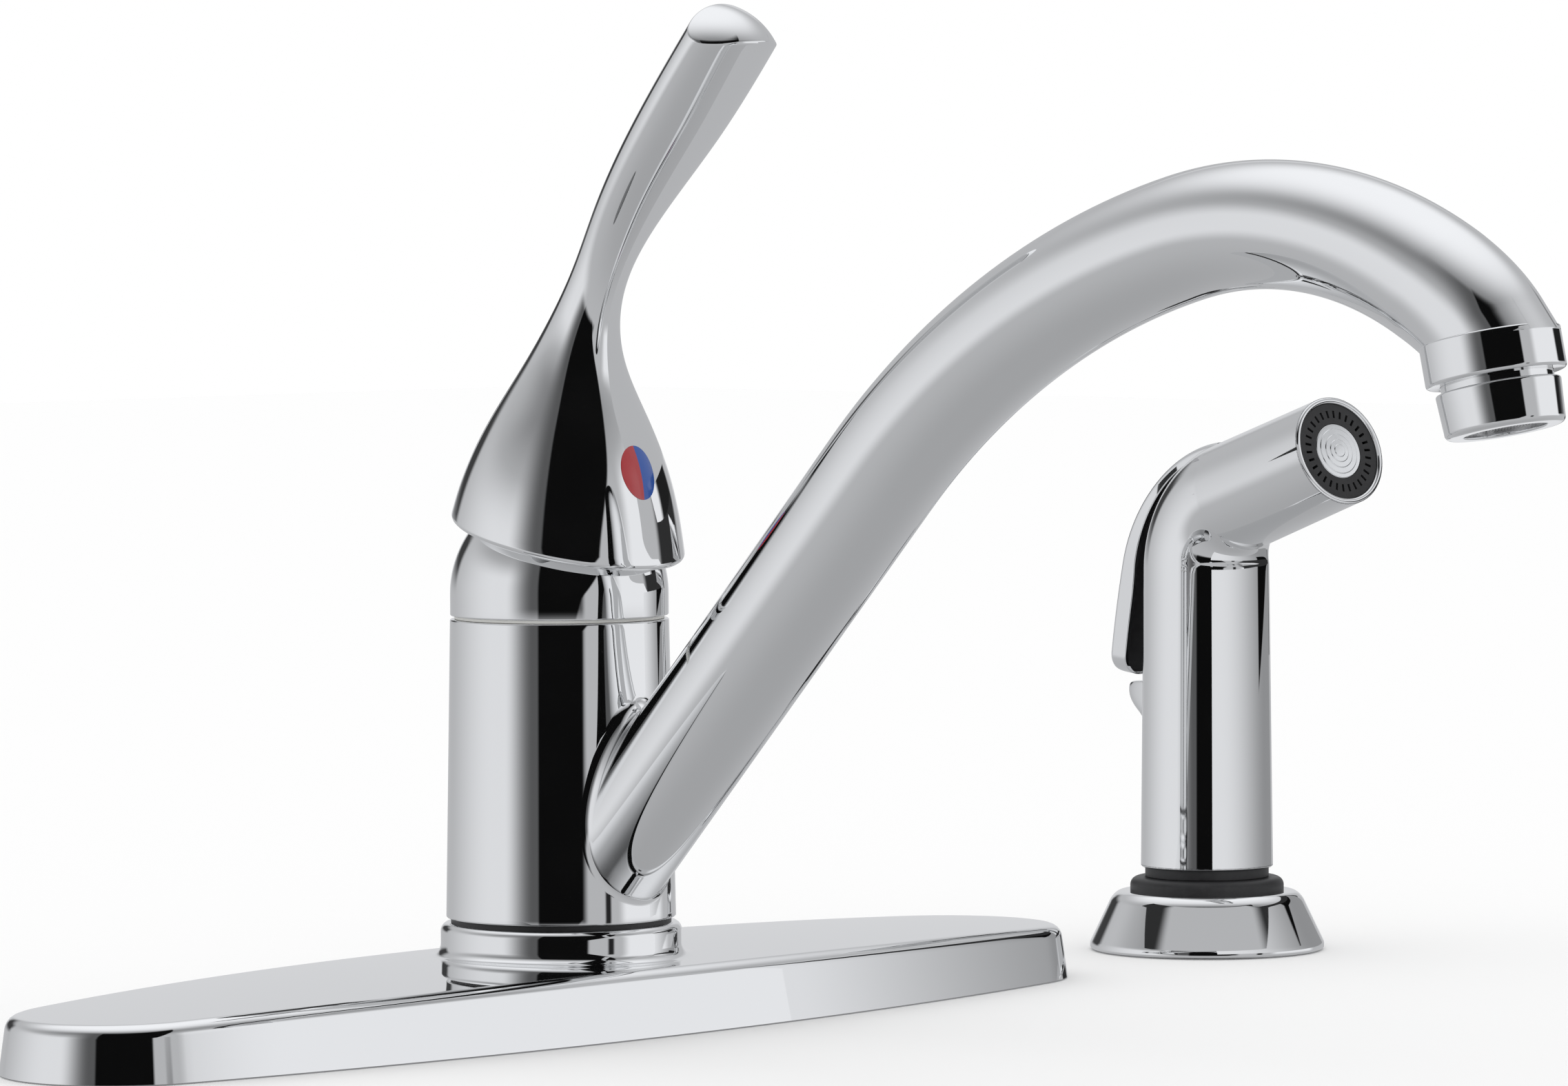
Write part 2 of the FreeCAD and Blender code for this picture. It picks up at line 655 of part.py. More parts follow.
def washer(name, x):
    low = -dim.deck_grip - dim.washer_thick
    disc = cylinder(f"{name}_disc", dim.washer_radius, dim.washer_thick, (x, 0, low))
    hole = cylinder(f"{name}_hole", dim.stud_thread + dim.loose_gap, dim.washer_thick, (x, 0, low))
    return cut(name, disc, [hole])


def nut(name, x):
    low = -dim.deck_grip - dim.washer_thick - dim.nut_height
    block = hexagon(f"{name}_block", dim.nut_radius, dim.nut_height, (x, 0, low))
    hole = cylinder(f"{name}_hole", dim.stud_thread + dim.run_gap, dim.nut_height, (x, 0, low))
    return cut(name, block, [hole])


node("mounting_studs", under_deck("Studs", stud))
node("mounting_washers", under_deck("Washers", washer))
node("mounting_nuts", under_deck("Nuts", nut))

# Valve body: a turned brass barrel with o-ring grooves, a water channel and drilled ways.
ring_seat = dim.hub_bore - dim.run_gap - 2 * dim.ring_wire
ring_half = dim.ring_wire + dim.ring_room
channel = dim.body_radius - dim.channel_depth
cartridge_hole = dim.cartridge_radius + dim.fit_gap
carrier_low = dim.pivot_height - dim.carrier_drop
carrier_high = dim.pivot_height + dim.carrier_rise
carrier_step = carrier_low + dim.carrier_foot_high
driver_low = carrier_low - dim.driver_gap - dim.disc_thick
moving_low = driver_low - dim.disc_thick
fixed_low = moving_low - dim.disc_gap - dim.disc_thick
base_low = fixed_low - dim.base_thick
seat_height = base_low - dim.seal_thick
barrel = turned("ValveBarrel", (
    (0.0, -dim.shank_drop),
    (dim.shank_radius, -dim.shank_drop),
    (dim.shank_radius, dim.flange_low),
    (dim.flange_radius, dim.flange_low),
    (dim.flange_radius, dim.plate_hollow),
    (dim.body_radius, dim.plate_hollow),
    (dim.body_radius, dim.ring_low - ring_half),
    (ring_seat, dim.ring_low - ring_half),
    (ring_seat, dim.ring_low + ring_half),
    (dim.body_radius, dim.ring_low + ring_half),
    (dim.body_radius, dim.channel_low),
    (channel, dim.channel_low),
    (channel, dim.channel_high),
    (dim.body_radius, dim.channel_high),
    (dim.body_radius, dim.ring_high - ring_half),
    (ring_seat, dim.ring_high - ring_half),
    (ring_seat, dim.ring_high + ring_half),
    (dim.body_radius, dim.ring_high + ring_half),
    (dim.body_radius, dim.body_top),
    (cartridge_hole, dim.body_top),
    (cartridge_hole, seat_height),
    (0.0, seat_height),
))
ways = []
for word, side in (("hot", -1), ("cold", 1)):
    x = dim.inlet_spread * side / 2
    rise = dim.shank_drop + seat_height
    ways.append(cylinder(f"Way_{word}", dim.port_radius, rise, (x, 0, -dim.shank_drop)))
    ways.append(cylinder(f"Socket_{word}", dim.inlet_spigot, dim.inlet_depth, (x, 0, -dim.shank_drop)))
mixed_drop = seat_height - dim.port_height
ways.append(cylinder("Way_mixed", dim.port_radius, mixed_drop, (0, dim.outlet_back, dim.port_height)))
ways.append(cylinder("Way_back", dim.port_radius, dim.body_radius, (0, 0, dim.port_height), ALONG_X, -90.0))
diverter_hole = dim.diverter_radius + dim.run_gap
diverter_room = dim.body_radius - dim.diverter_seat
ways.append(cylinder("Way_diverter", diverter_hole, diverter_room,
                     (0, -dim.diverter_seat, dim.port_height), ALONG_X, 90.0))
ways.append(cylinder("Way_cross", dim.spray_bore, dim.diverter_seat, (0, 0, dim.port_height), ALONG_X, 90.0))
spray_rise = dim.shank_drop + dim.port_height
ways.append(cylinder("Way_spray", dim.spray_bore, spray_rise, (0, -dim.spray_way, -dim.shank_drop)))
ways.append(cylinder("Socket_spray", dim.spray_spigot, dim.inlet_depth, (0, -dim.spray_way, -dim.shank_drop)))
node("valve_body", cut("ValveBody", barrel, ways))


# Inlet fittings for hot and cold water, and the fitting that feeds the spray's hose.
def fitting(name, spigot, collar, thread, reach, bore):
    low = -dim.shank_drop - dim.inlet_collar_high - reach
    return turned(name, (
        (bore, low),
        (thread, low),
        (thread, -dim.shank_drop - dim.inlet_collar_high),
        (collar, -dim.shank_drop - dim.inlet_collar_high),
        (collar, -dim.shank_drop),
        (spigot, -dim.shank_drop),
        (spigot, -dim.shank_drop + dim.inlet_depth),
        (bore, -dim.shank_drop + dim.inlet_depth),
    ))


for word, side in (("hot", -1), ("cold", 1)):
    inlet = fitting(f"Inlet_{word}", dim.inlet_spigot - dim.run_gap, dim.inlet_collar,
                    dim.inlet_radius, dim.inlet_reach, dim.port_radius)
    node(f"{word}_inlet", place(inlet, (dim.inlet_spread * side / 2, 0, 0)))
outlet = fitting("SprayOutlet", dim.spray_spigot - dim.run_gap, dim.spray_collar,
                 dim.spray_nipple, dim.spray_reach, dim.spray_bore)
node("spray_outlet", place(outlet, (0, -dim.spray_way, 0)))

# O-rings and glide rings on which the spout turns.
ring_radius = ring_seat + dim.ring_wire
node("body_o_rings", group("BodyRings", [
    torus("Ring_low", ring_radius, dim.ring_wire, (0, 0, dim.ring_low)),
    torus("Ring_high", ring_radius, dim.ring_wire, (0, 0, dim.ring_high)),
]))
glide_bore = dim.body_radius + dim.fit_gap


def flat_ring(name, bore, radius, low, high):
    return turned(name, ((bore, low), (radius, low), (radius, high), (bore, high)))


node("lower_glide_ring", flat_ring("LowerGlide", glide_bore, dim.glide_radius,
                                   dim.collar_top, dim.hub_low - dim.run_gap))
node("upper_glide_ring", flat_ring("UpperGlide", glide_bore, dim.upper_glide_radius,
                                   dim.hub_high + dim.run_gap, dim.bonnet_low))

# Diverter: a small piston with a rubber lip, in the front of the valve body.
diverter_back = -(dim.diverter_seat + dim.diverter_rest)
node("diverter_piston", cylinder("DiverterPiston", dim.diverter_radius, dim.diverter_length,
                                 (0, diverter_back, dim.port_height), ALONG_X, 90.0))
node("diverter_seal", cylinder("DiverterSeal", dim.diverter_radius, dim.diverter_lip,
                               (0, diverter_back - dim.diverter_length, dim.port_height), ALONG_X, 90.0))

# Mixing cartridge: seals, base, two ceramic discs, their driver, and a housing with a neck.
way_spots = ((-dim.inlet_spread / 2, 0.0), (dim.inlet_spread / 2, 0.0), (0.0, dim.outlet_back))
inner = dim.cartridge_cavity - dim.fit_gap


def ported(name, radius, low, thick):
    """A disc with the three water ways through it."""
    blank = cylinder(f"{name}_blank", radius, thick, (0, 0, low))
    holes = [cylinder(f"{name}_hole_{index}", dim.spray_bore, thick, (x, y, low))
             for index, (x, y) in enumerate(way_spots)]
    return cut(name, blank, holes)


seals = []
for index, (x, y) in enumerate(way_spots):
    ring = cylinder(f"Seal_{index}", dim.seal_radius, dim.seal_thick, (x, y, seat_height))
    hole = cylinder(f"Seal_{index}_hole", dim.spray_bore, dim.seal_thick, (x, y, seat_height))
    seals.append(cut(f"Seal_{index}_ring", ring, [hole]))
node("cartridge_seals", group("CartridgeSeals", seals))
node("cartridge_base", ported("CartridgeBase", inner, base_low, dim.base_thick))
node("fixed_disc", ported("FixedDisc", inner, fixed_low, dim.disc_thick))
carrier_hole = dim.carrier_radius + dim.run_gap
ledge = carrier_step + dim.run_gap
node("cartridge_housing", turned("CartridgeHousing", (
    (dim.cartridge_cavity, base_low),
    (dim.cartridge_radius, base_low),
    (dim.cartridge_radius, dim.body_top),
    (dim.cartridge_flange, dim.body_top),
    (dim.cartridge_flange, dim.body_top + dim.cartridge_flange_high),
    (dim.cartridge_neck, dim.body_top + dim.cartridge_flange_high),
    (dim.cartridge_neck, carrier_high),
    (carrier_hole, carrier_high),
    (carrier_hole, ledge),
    (dim.cartridge_cavity, ledge),
)))

# Bonnet: a ring nut with a dome about the lever's pivot, clamping the cartridge.
bonnet_bore = dim.body_radius + dim.run_gap
bonnet_step = dim.body_top + dim.cartridge_flange_high + dim.run_gap
mouth_rise = root(dim.bonnet_radius * dim.bonnet_radius - dim.bonnet_mouth * dim.bonnet_mouth)
node("bonnet", turned("Bonnet", (
    (bonnet_bore, dim.bonnet_low),
    (dim.bonnet_radius, dim.bonnet_low),
    (dim.bonnet_radius, dim.pivot_height, dim.bonnet_radius),
    (dim.bonnet_mouth, dim.pivot_height + mouth_rise),
    (dim.bonnet_mouth, bonnet_step),
    (bonnet_bore, bonnet_step),
)))

# Stem carrier: turns in the neck and holds the lever stem's pivot pin across its slot.
carrier_blank = turned("CarrierBlank", (
    (0.0, carrier_low),
    (dim.carrier_foot, carrier_low),
    (dim.carrier_foot, carrier_step),
    (dim.carrier_radius, carrier_step),
    (dim.carrier_radius, carrier_high),
    (0.0, carrier_high),
))
slot_wide = dim.stem_wide + 2 * dim.fit_gap
slot = doc.addObject("Part::Box", "CarrierSlot")
bind(slot, "Length", slot_wide)
bind(slot, "Width", 2 * dim.slot_half)
bind(slot, "Height", carrier_high - carrier_low)
place(slot, (-slot_wide / 2, -dim.slot_half, carrier_low))
pin_half = dim.carrier_radius - dim.fit_gap


def pivot_rod(name, radius):
    return cylinder(name, radius, 2 * pin_half, (-pin_half, 0, dim.pivot_height), ALONG_Y, 90.0)


node("stem_carrier", cut("StemCarrier", carrier_blank, [slot, pivot_rod("CarrierPinHole", dim.pin_radius)]))
node("pivot_pin", pivot_rod("PivotPin", dim.pin_radius))

# Lever stem: made upright about the pivot, then tilted forward with the closed handle.
stem_half = dim.stem_wide / 2
stem_arm = dim.pivot_height - driver_low - dim.nose_lift - dim.stem_nose
bar = doc.addObject("Part::Box", "StemBar")
bind(bar, "Length", dim.stem_wide)
bind(bar, "Width", dim.stem_deep)
bind(bar, "Height", dim.stem_reach)
place(bar, (-stem_half, -dim.stem_deep / 2, 0))
eye = cylinder("StemEye", dim.stem_eye, dim.stem_wide, (-stem_half, 0, 0), ALONG_Y, 90.0)
nose = cylinder("StemNose", dim.stem_nose, stem_arm, (0, 0, -stem_arm))
ball = doc.addObject("Part::Sphere", "StemBall")
bind(ball, "Radius", dim.stem_nose)
place(ball, (0, 0, -stem_arm))
stem_blank = merged("StemBlank", [bar, eye, nose, ball])
eye_hole = cylinder("StemEyeHole", dim.pin_radius + dim.run_gap, dim.stem_wide, (-stem_half, 0, 0), ALONG_Y, 90.0)
stem = cut("LeverStem", stem_blank, [eye_hole])
node("lever_stem", place(stem, (0, 0, dim.pivot_height), ALONG_X, dim.handle_tilt))

# Moving disc and its driver, shifted back by the tilted stem's nose.
nose_back = stem_arm * sine(dim.handle_tilt)
node("moving_disc", cylinder("MovingDisc", dim.disc_radius, dim.disc_thick, (0, nose_back, moving_low)))
driver_blank = cylinder("DriverBlank", dim.disc_radius, dim.disc_thick, (0, nose_back, driver_low))
driver_hole = cylinder("DriverHole", dim.stem_nose + dim.nose_room, dim.disc_thick, (0, nose_back, driver_low))
node("disc_driver", cut("DiscDriver", driver_blank, [driver_hole]))


# Round bars along a bent line in the middle plane: each stop is (ahead, height, rise in degrees, radius).
def stop_ring(ahead, height, rise, radius):
    ring = Part.Wire(Part.makeCircle(radius))
    ring.Placement = Placement(Vector(0, -ahead, height), Rotation(ALONG_X, 90 - rise))
    return ring


def skin(rings):
    """A smooth closed skin through rings, of third degree so that it does not overshoot."""
    return Part.makeLoft(rings, True, False, False, 3)


def bar_through(stops):
    return skin([stop_ring(*stop) for stop in stops])


def straight(start, rise, length):
    angle = math.radians(rise)
    return (start[0] + length * math.cos(angle), start[1] + length * math.sin(angle))


def bend(start, rise, radius, new_rise):
    """Where a downward bend of a given radius leads to when the rise falls to a new value."""
    old, new = math.radians(rise), math.radians(new_rise)
    ahead = start[0] + radius * (math.sin(old) - math.sin(new))
    return (ahead, start[1] + radius * (math.cos(new) - math.cos(old)))


def spread(first, last, count):
    return [first + (last - first) * step / count for step in range(1, count + 1)]


# Spout: a tapered hub, a rising tube with two bends, and an end collar for the aerator.
long_ahead = dim.tube_long_bend * (sine(dim.tube_rise) - sine(dim.tube_mid_rise))
long_climb = dim.tube_long_bend * (cosine(dim.tube_mid_rise) - cosine(dim.tube_rise))
short_ahead = dim.tube_short_bend * (sine(dim.tube_mid_rise) - sine(dim.tube_end_rise))
short_climb = dim.tube_short_bend * (cosine(dim.tube_end_rise) - cosine(dim.tube_mid_rise))
outlet_reach = dim.tube_run * cosine(dim.tube_rise) + long_ahead + short_ahead + dim.outlet_ahead
outlet_climb = dim.tube_run * sine(dim.tube_rise) + long_climb + short_climb - dim.outlet_drop
outlet_height = dim.tube_root + outlet_climb


def spout_stops(radius, first):
    """Stops of the tube's line from a first distance along its straight run to the end collar."""
    foot = (0.0, num.tube_root)
    stops = []
    for length in [first] + spread(first, num.tube_run, 5):
        stops.append((*straight(foot, num.tube_rise, length), num.tube_rise, radius))
    knee = straight(foot, num.tube_rise, num.tube_run)
    for rise in spread(num.tube_rise, num.tube_mid_rise, 5):
        stops.append((*bend(knee, num.tube_rise, num.tube_long_bend, rise), rise, radius))
    crest = bend(knee, num.tube_rise, num.tube_long_bend, num.tube_mid_rise)
    for rise in spread(num.tube_mid_rise, num.tube_end_rise, 6):
        stops.append((*bend(crest, num.tube_mid_rise, num.tube_short_bend, rise), rise, radius))
    tail = stops[-1]
    outlet = (outlet_reach.number, outlet_height.number)
    half_way = math.dist(tail[:2], outlet) / 2
    middle = straight(tail[:2], (3 * tail[2] + num.tube_tail_rise) / 4, half_way)
    slim = num.tube_tail_slim
    stops.append((*middle, (tail[2] + num.tube_tail_rise) / 2, radius - slim / 2))
    stops.append((*outlet, num.tube_tail_rise, radius - slim))
    stops.append((*straight(outlet, num.tube_tail_rise, num.end_length), num.tube_tail_rise, radius - slim))
    return stops


outlet_axis = Vector(0, -math.sin(math.radians(num.outlet_lean)), -math.cos(math.radians(num.outlet_lean)))
outlet_top = Vector(0, -outlet_reach.number, outlet_height.number)


def outlet_bar(radius, first, last):
    """A round bar on the outlet's axis, between two distances below the end collar's top."""
    return Part.makeCylinder(radius, last - first, outlet_top + outlet_axis * first, outlet_axis)


hub = Part.makeCone(num.hub_low_radius, num.hub_high_radius, num.hub_high - num.hub_low, Vector(0, 0, num.hub_low))
wall_start = 0.75 * num.hub_bore / math.cos(math.radians(num.tube_rise))
past_collar = outlet_bar(3 * num.end_radius, num.tube_sink, 3 * num.end_radius)
arm = bar_through(spout_stops(num.tube_radius, wall_start)).cut(past_collar)
outer = hub.fuse([arm, outlet_bar(num.end_radius, 0, num.end_length)]).removeSplitter()


def tube_joint(edge):
    first, last = edge.ParameterRange
    points = [edge.valueAt(first + (last - first) * step / 8) for step in range(9)]
    slope = (num.hub_low_radius - num.hub_high_radius) / (num.hub_high - num.hub_low)
    for point in points:
        reach = num.hub_low_radius - slope * (point.z - num.hub_low)
        if abs(math.hypot(point.x, point.y) - reach) > 1e-2:
            return False
    return max(point.z for point in points) - min(point.z for point in points) > 1.0 and abs(points[0].y) > 5.0


seams = [edge for edge in outer.Edges if tube_joint(edge)]
outer = outer.makeFillet(num.tube_blend, seams)
bore_start = 1.3 * num.hub_low_radius / math.cos(math.radians(num.tube_rise))
passage = bar_through(spout_stops(num.tube_radius - num.tube_wall, bore_start)).cut(past_collar)
tube_way = Vector(0, -math.cos(math.radians(num.tube_rise)), math.sin(math.radians(num.tube_rise)))
port = Part.makeCylinder(num.tube_port, bore_start + 1, Vector(0, 0, num.tube_root), tube_way)
hub_hole = Part.makeCylinder(num.hub_bore, num.hub_high - num.hub_low, Vector(0, 0, num.hub_low))
thread_depth = num.end_length + num.fit_gap
spout_shape = outer.cut([passage, port, hub_hole, outlet_bar(num.end_thread, -0.5, thread_depth)])
node("spout", solid("Spout", spout_shape))


# Aerator: a turned housing screwed into the end collar, with a washer, an insert and a screen.
def on_outlet(thing):
    """Puts a piece that was turned about Z, growing downward, on the outlet's axis."""
    return place(thing, (0, -outlet_reach, outlet_height), ALONG_X, -dim.outlet_lean)


aerator_top = dim.end_length + dim.aerator_gap
aerator_low = aerator_top + dim.aerator_length
aerator_screw = dim.end_thread - dim.run_gap
aerator_bore = aerator_screw - dim.aerator_wall
washer_low = dim.aerator_washer
aerator = turned("AeratorHousing", (
    (aerator_bore, -washer_low),
    (aerator_screw, -washer_low),
    (aerator_screw, -aerator_top),
    (dim.aerator_radius, -aerator_top),
    (dim.aerator_foot, -aerator_low),
    (aerator_bore - dim.aerator_lip, -aerator_low),
    (aerator_bore - dim.aerator_lip, -aerator_low + dim.aerator_lip),
    (aerator_bore, -aerator_low + dim.aerator_lip),
))
doc.recompute()
fillet(aerator, ring_edges(aerator.Shape, dim.aerator_foot, -aerator_low), dim.aerator_lip)
node("aerator_housing", on_outlet(aerator))
insert_radius = aerator_bore - dim.fit_gap
screen_high = -aerator_low + dim.aerator_lip + dim.screen_thick
node("aerator_screen", on_outlet(turned("AeratorScreen", (
    (0.0, screen_high - dim.screen_thick),
    (insert_radius, screen_high - dim.screen_thick),
    (insert_radius, screen_high),
    (0.0, screen_high),
))))
node("aerator_insert", on_outlet(turned("AeratorInsert", (
    (dim.port_radius, screen_high),
    (insert_radius, screen_high),
    (insert_radius, -washer_low),
    (dim.port_radius, -washer_low),
))))
node("aerator_washer", on_outlet(flat_ring("AeratorWasher", dim.port_radius, aerator_screw, -washer_low, 0.0)))

# Handle: a bell skirt that narrows to a neck and widens into a forward-leaning blade.
pivot = Vector(0, 0, num.pivot_height)


def tilted(angle):
    """A unit vector in the middle plane, leaning forward from upright by an angle in degrees."""
    return Vector(0, -math.sin(math.radians(angle)), math.cos(math.radians(angle)))


def level_oval(height, ahead, half_width, half_depth):
    shape = FreeCAD.Matrix()
    shape.scale(half_width, half_depth, 1.0)
    shape.move(Vector(0, -ahead, height))
    return Part.Wire(Part.makeCircle(1.0)).transformGeometry(shape)


handle_form = []
for name, *values in HANDLE_FORM:
    measures = ("height", "ahead", "half_width", "half_depth")
    handle_form.append(level_oval(*[getattr(num, f"form_{name}_{measure}") for measure in measures]))
bell = skin(handle_form)
tip = Vector(0, -num.lever_tip_reach, num.lever_tip_height)
end_ball = Part.makeSphere(num.lever_dome, tip - tilted(num.lever_lean) * num.lever_dome)
tip_cut = Part.makeCylinder(
    4 * num.lever_dome, 4 * num.lever_dome,
    tip - tilted(num.lever_lean) * num.lever_dome * 0.9, tilted(num.lever_lean),
).cut(end_ball)
stem_axis = tilted(num.handle_tilt)
stem_turn = Rotation(ALONG_X, num.handle_tilt)
rim_axis = tilted(num.rim_tilt)
below = Part.makeCylinder(3 * num.bonnet_radius, 3 * num.bonnet_radius, pivot + rim_axis * num.handle_rim, -rim_axis)
skirt = bell.cut([below, tip_cut])
rim_edges = [edge for edge in skirt.Edges if edge.BoundBox.ZMax < num.form_skirt_height]
skirt = skirt.makeFillet(num.rim_round, rim_edges)
end_edges = [edge for edge in skirt.Edges if edge.BoundBox.ZMin > num.form_blade_height]
skirt = skirt.makeFillet(num.lever_edge, end_edges)
cavity = Part.makeSphere(num.handle_cavity, pivot)
socket = Part.makeBox(
    num.stem_wide + 2 * num.run_gap, num.stem_deep + 2 * num.run_gap, num.stem_reach + num.fit_gap,
    Vector(-num.stem_wide / 2 - num.run_gap, -num.stem_deep / 2 - num.run_gap, 0),
)
socket.Placement = Placement(pivot, stem_turn)

# Set screw, square to the stem, behind the oval temperature button.
screw_way = tilted(num.handle_tilt + 90)
screw_foot = pivot + stem_axis * num.screw_height + screw_way * (num.stem_deep / 2)
screw_hole = Part.makeCylinder(num.screw_radius + num.run_gap, num.button_out, screw_foot, screw_way)
node("set_screw", solid("SetScrew", Part.makeCylinder(num.screw_radius, num.screw_length, screw_foot, screw_way)))

button_way = tilted(90 - num.button_lean)
button_face = Vector(0, -num.button_out, num.button_height)


def button_bar(grow, depth, proud):
    """An oval bar on the button's axis, from a depth behind its face to a height before it."""
    shape = FreeCAD.Matrix()
    shape.scale(num.button_half_width + grow, num.button_half_height + grow, 1.0)
    oval = Part.Face(Part.Wire(Part.makeCircle(1.0)).transformGeometry(shape))
    bar = oval.extrude(Vector(0, 0, depth + proud))
    bar.Placement = Placement(button_face - button_way * depth, Rotation(UPRIGHT, button_way))
    return bar


face_ball = Part.makeSphere(num.button_dome, button_face - button_way * num.button_dome)
button = button_bar(0.0, num.button_depth, 1.0).common(face_ball)
node("indicator_button", solid("IndicatorButton", button))
screw_hole = screw_hole.cut(Part.makeCylinder(4 * num.button_half_height, num.button_out, button_face, button_way))
handle_shape = skirt.cut([cavity, socket, screw_hole, button_bar(num.run_gap, num.button_depth, num.button_out)])
node("handle", solid("Handle", handle_shape))


# Spray holder: a conical flange, a black guide through the deck, and its washer and nut.
def at_holder(thing):
    return place(thing, (dim.holder_x, 0, 0), UPRIGHT, dim.spray_turn)


guide_hole = dim.guide_radius + dim.fit_gap
holder = turned("SprayFlange", (
    (guide_hole, dim.holder_top - dim.holder_wall),
    (dim.holder_top_radius - dim.holder_wall, dim.holder_top - dim.holder_wall),
    (dim.holder_radius - dim.holder_wall, 0.0),
    (dim.holder_radius, 0.0),
    (dim.holder_radius, dim.holder_edge),
    (dim.holder_top_radius, dim.holder_shoulder),
    (dim.holder_top_radius - dim.holder_top + dim.holder_shoulder, dim.holder_top),
    (guide_hole, dim.holder_top),
))
node("spray_flange", at_holder(holder))
taper_low = dim.guide_top - dim.guide_taper
ring_lift = dim.guide_top - dim.holder_top
guide = turned("SprayGuide", (
    (dim.guide_bore, -dim.guide_drop),
    (dim.guide_radius, -dim.guide_drop),
    (dim.guide_radius, dim.holder_top),
    (dim.guide_ring, dim.holder_top),
    (dim.guide_ring, dim.guide_top),
    (dim.guide_mouth, dim.guide_top),
    (dim.guide_bore, taper_low),
))
doc.recompute()
fillet(guide, ring_edges(guide.Shape, dim.guide_ring, dim.guide_top), 0.6 * ring_lift)
node("spray_guide", at_holder(guide))
washer_high = -dim.deck_grip
nut_high = washer_high - dim.washer_thick
node("spray_washer", at_holder(flat_ring("SprayWasher", dim.guide_radius + dim.loose_gap, dim.guide_nut,
                                         nut_high, washer_high)))
nut_block = hexagon("SprayNut_block", dim.guide_nut, dim.guide_nut_high, (0, 0, nut_high - dim.guide_nut_high))
nut_hole = cylinder("SprayNut_hole", dim.guide_radius + dim.run_gap, dim.guide_nut_high,
                    (0, 0, nut_high - dim.guide_nut_high))
node("spray_nut", at_holder(cut("SprayNut", nut_block, [nut_hole])))

# Spray wand: a black neck with a tapered plug, and a chrome shell that bends into the head.
neck_low = dim.guide_top + dim.fit_gap
shell_low = neck_low + dim.wand_neck_high
plug_fall = (dim.guide_mouth - dim.guide_bore) / dim.guide_taper
plug_low = dim.guide_top - dim.wand_plug
node("wand_neck", at_holder(turned("WandNeck", (
    (dim.nipple_spigot, plug_low),
    (dim.guide_mouth - dim.plug_gap - plug_fall * dim.wand_plug, plug_low),
    (dim.guide_mouth - dim.plug_gap, dim.guide_top),
    (dim.guide_mouth - dim.plug_gap, neck_low),
    (dim.wand_neck, neck_low),
    (dim.wand_neck, shell_low),
    (dim.nipple_spigot, shell_low),
))))
node("hose_fitting", at_holder(turned("HoseFitting", (
    (dim.spray_bore, dim.nipple_low),
    (dim.nipple_radius, dim.nipple_low),
    (dim.nipple_radius, plug_low),
    (dim.nipple_spigot, plug_low),
    (dim.nipple_spigot, shell_low),
    (dim.spray_bore, shell_low),
))))

head_rise = num.wand_head_rise
head_way = tilted(90 - head_rise)
head_over = tilted(-head_rise)
elbow = Vector(0, 0, num.wand_elbow)
run_in = num.wand_bend * math.tan(math.radians(45 - head_rise / 2))
wand_foot = shell_low.number


def wand_bar(inset, spare):
    """The wand's straight part, bend and head as one bar; the spare length goes past both open ends."""
    high = num.wand_high_radius - inset
    past = num.wand_head_radius - inset
    height = num.wand_elbow - run_in - wand_foot
    fall = (num.wand_low_radius - num.wand_high_radius) / height
    low = num.wand_low_radius - inset + fall * spare
    foot = Part.makeCone(low, high, height + spare, Vector(0, 0, wand_foot - spare))
    start = (0.0, num.wand_elbow - run_in)
    rings = [stop_ring(*start, 90.0, high)]
    for rise, radius in zip(spread(90.0, head_rise, 8), spread(high, past, 8)):
        rings.append(stop_ring(*bend(start, 90.0, num.wand_bend, rise), rise, radius))
    reach = num.wand_head_reach - run_in
    narrowing = (num.wand_head_radius - num.wand_face_radius) / reach
    end = num.wand_face_radius - inset - narrowing * spare
    head = Part.makeCone(past, end, reach + spare, elbow + head_way * run_in, head_way)
    return foot.fuse([skin(rings), head]).removeSplitter()


def head_bar(radius, first, last):
    """A round bar on the head's axis, between two distances from the elbow."""
    return Part.makeCylinder(radius, last - first, elbow + head_way * first, head_way)


def cross_bar(radius, half, at):
    return Part.makeCylinder(radius, 2 * half, at - ALONG_X * half, ALONG_X)


def cross_block(half, low, high):
    """A block between two corners of the middle plane, of a half width."""
    size = high - low
    return Part.makeBox(2 * half, size.y, size.z, Vector(-half, low.y, low.z))


# The thumb lever's back, in the middle plane: a straight part, then an arc that ends on the head's top.
bend_centre = Vector(0, -num.wand_bend, num.wand_elbow - run_in)
back_low = Vector(0, num.trigger_out, num.trigger_low)
back_mid = Vector(0, num.trigger_mid_out, bend_centre.z)
back_top = bend_centre + head_over * (num.wand_bend + num.wand_head_radius)
back_way = (back_mid - back_low).normalize()
inward = ALONG_X.cross(back_way)
chord = back_top - back_mid
sweep = chord.dot(chord) / (2 * chord.dot(inward))
sweep_centre = back_mid + inward * sweep


def back_arc(depth):
    """The arc at a depth under the lever's back, foot first: its two ends and its middle."""
    foot_way = back_mid - sweep_centre
    top_way = back_top - sweep_centre
    ways = (foot_way, foot_way + top_way, top_way)
    return [sweep_centre + way.normalize() * (sweep - depth) for way in ways]


def back_plate(depth, foot_depth, inner, low, half):
    """A plate across the lever between two depths, its lower part running to another depth at its foot."""
    outer_arc = back_arc(depth)
    inner_arc = back_arc(inner)
    foot = back_low + back_way * low
    outer_foot = foot + inward * depth
    inner_foot = foot + inward * foot_depth
    outline = [
        Part.LineSegment(outer_foot, outer_arc[0]),
        Part.Arc(*outer_arc),
        Part.LineSegment(outer_arc[2], inner_arc[2]),
        Part.Arc(*inner_arc[::-1]),
        Part.LineSegment(inner_arc[0], inner_foot),
        Part.LineSegment(inner_foot, outer_foot),
    ]
    face = Part.Face(Part.Wire([curve.toShape() for curve in outline]))
    face.translate(-ALONG_X * half)
    return face.extrude(ALONG_X * 2 * half)


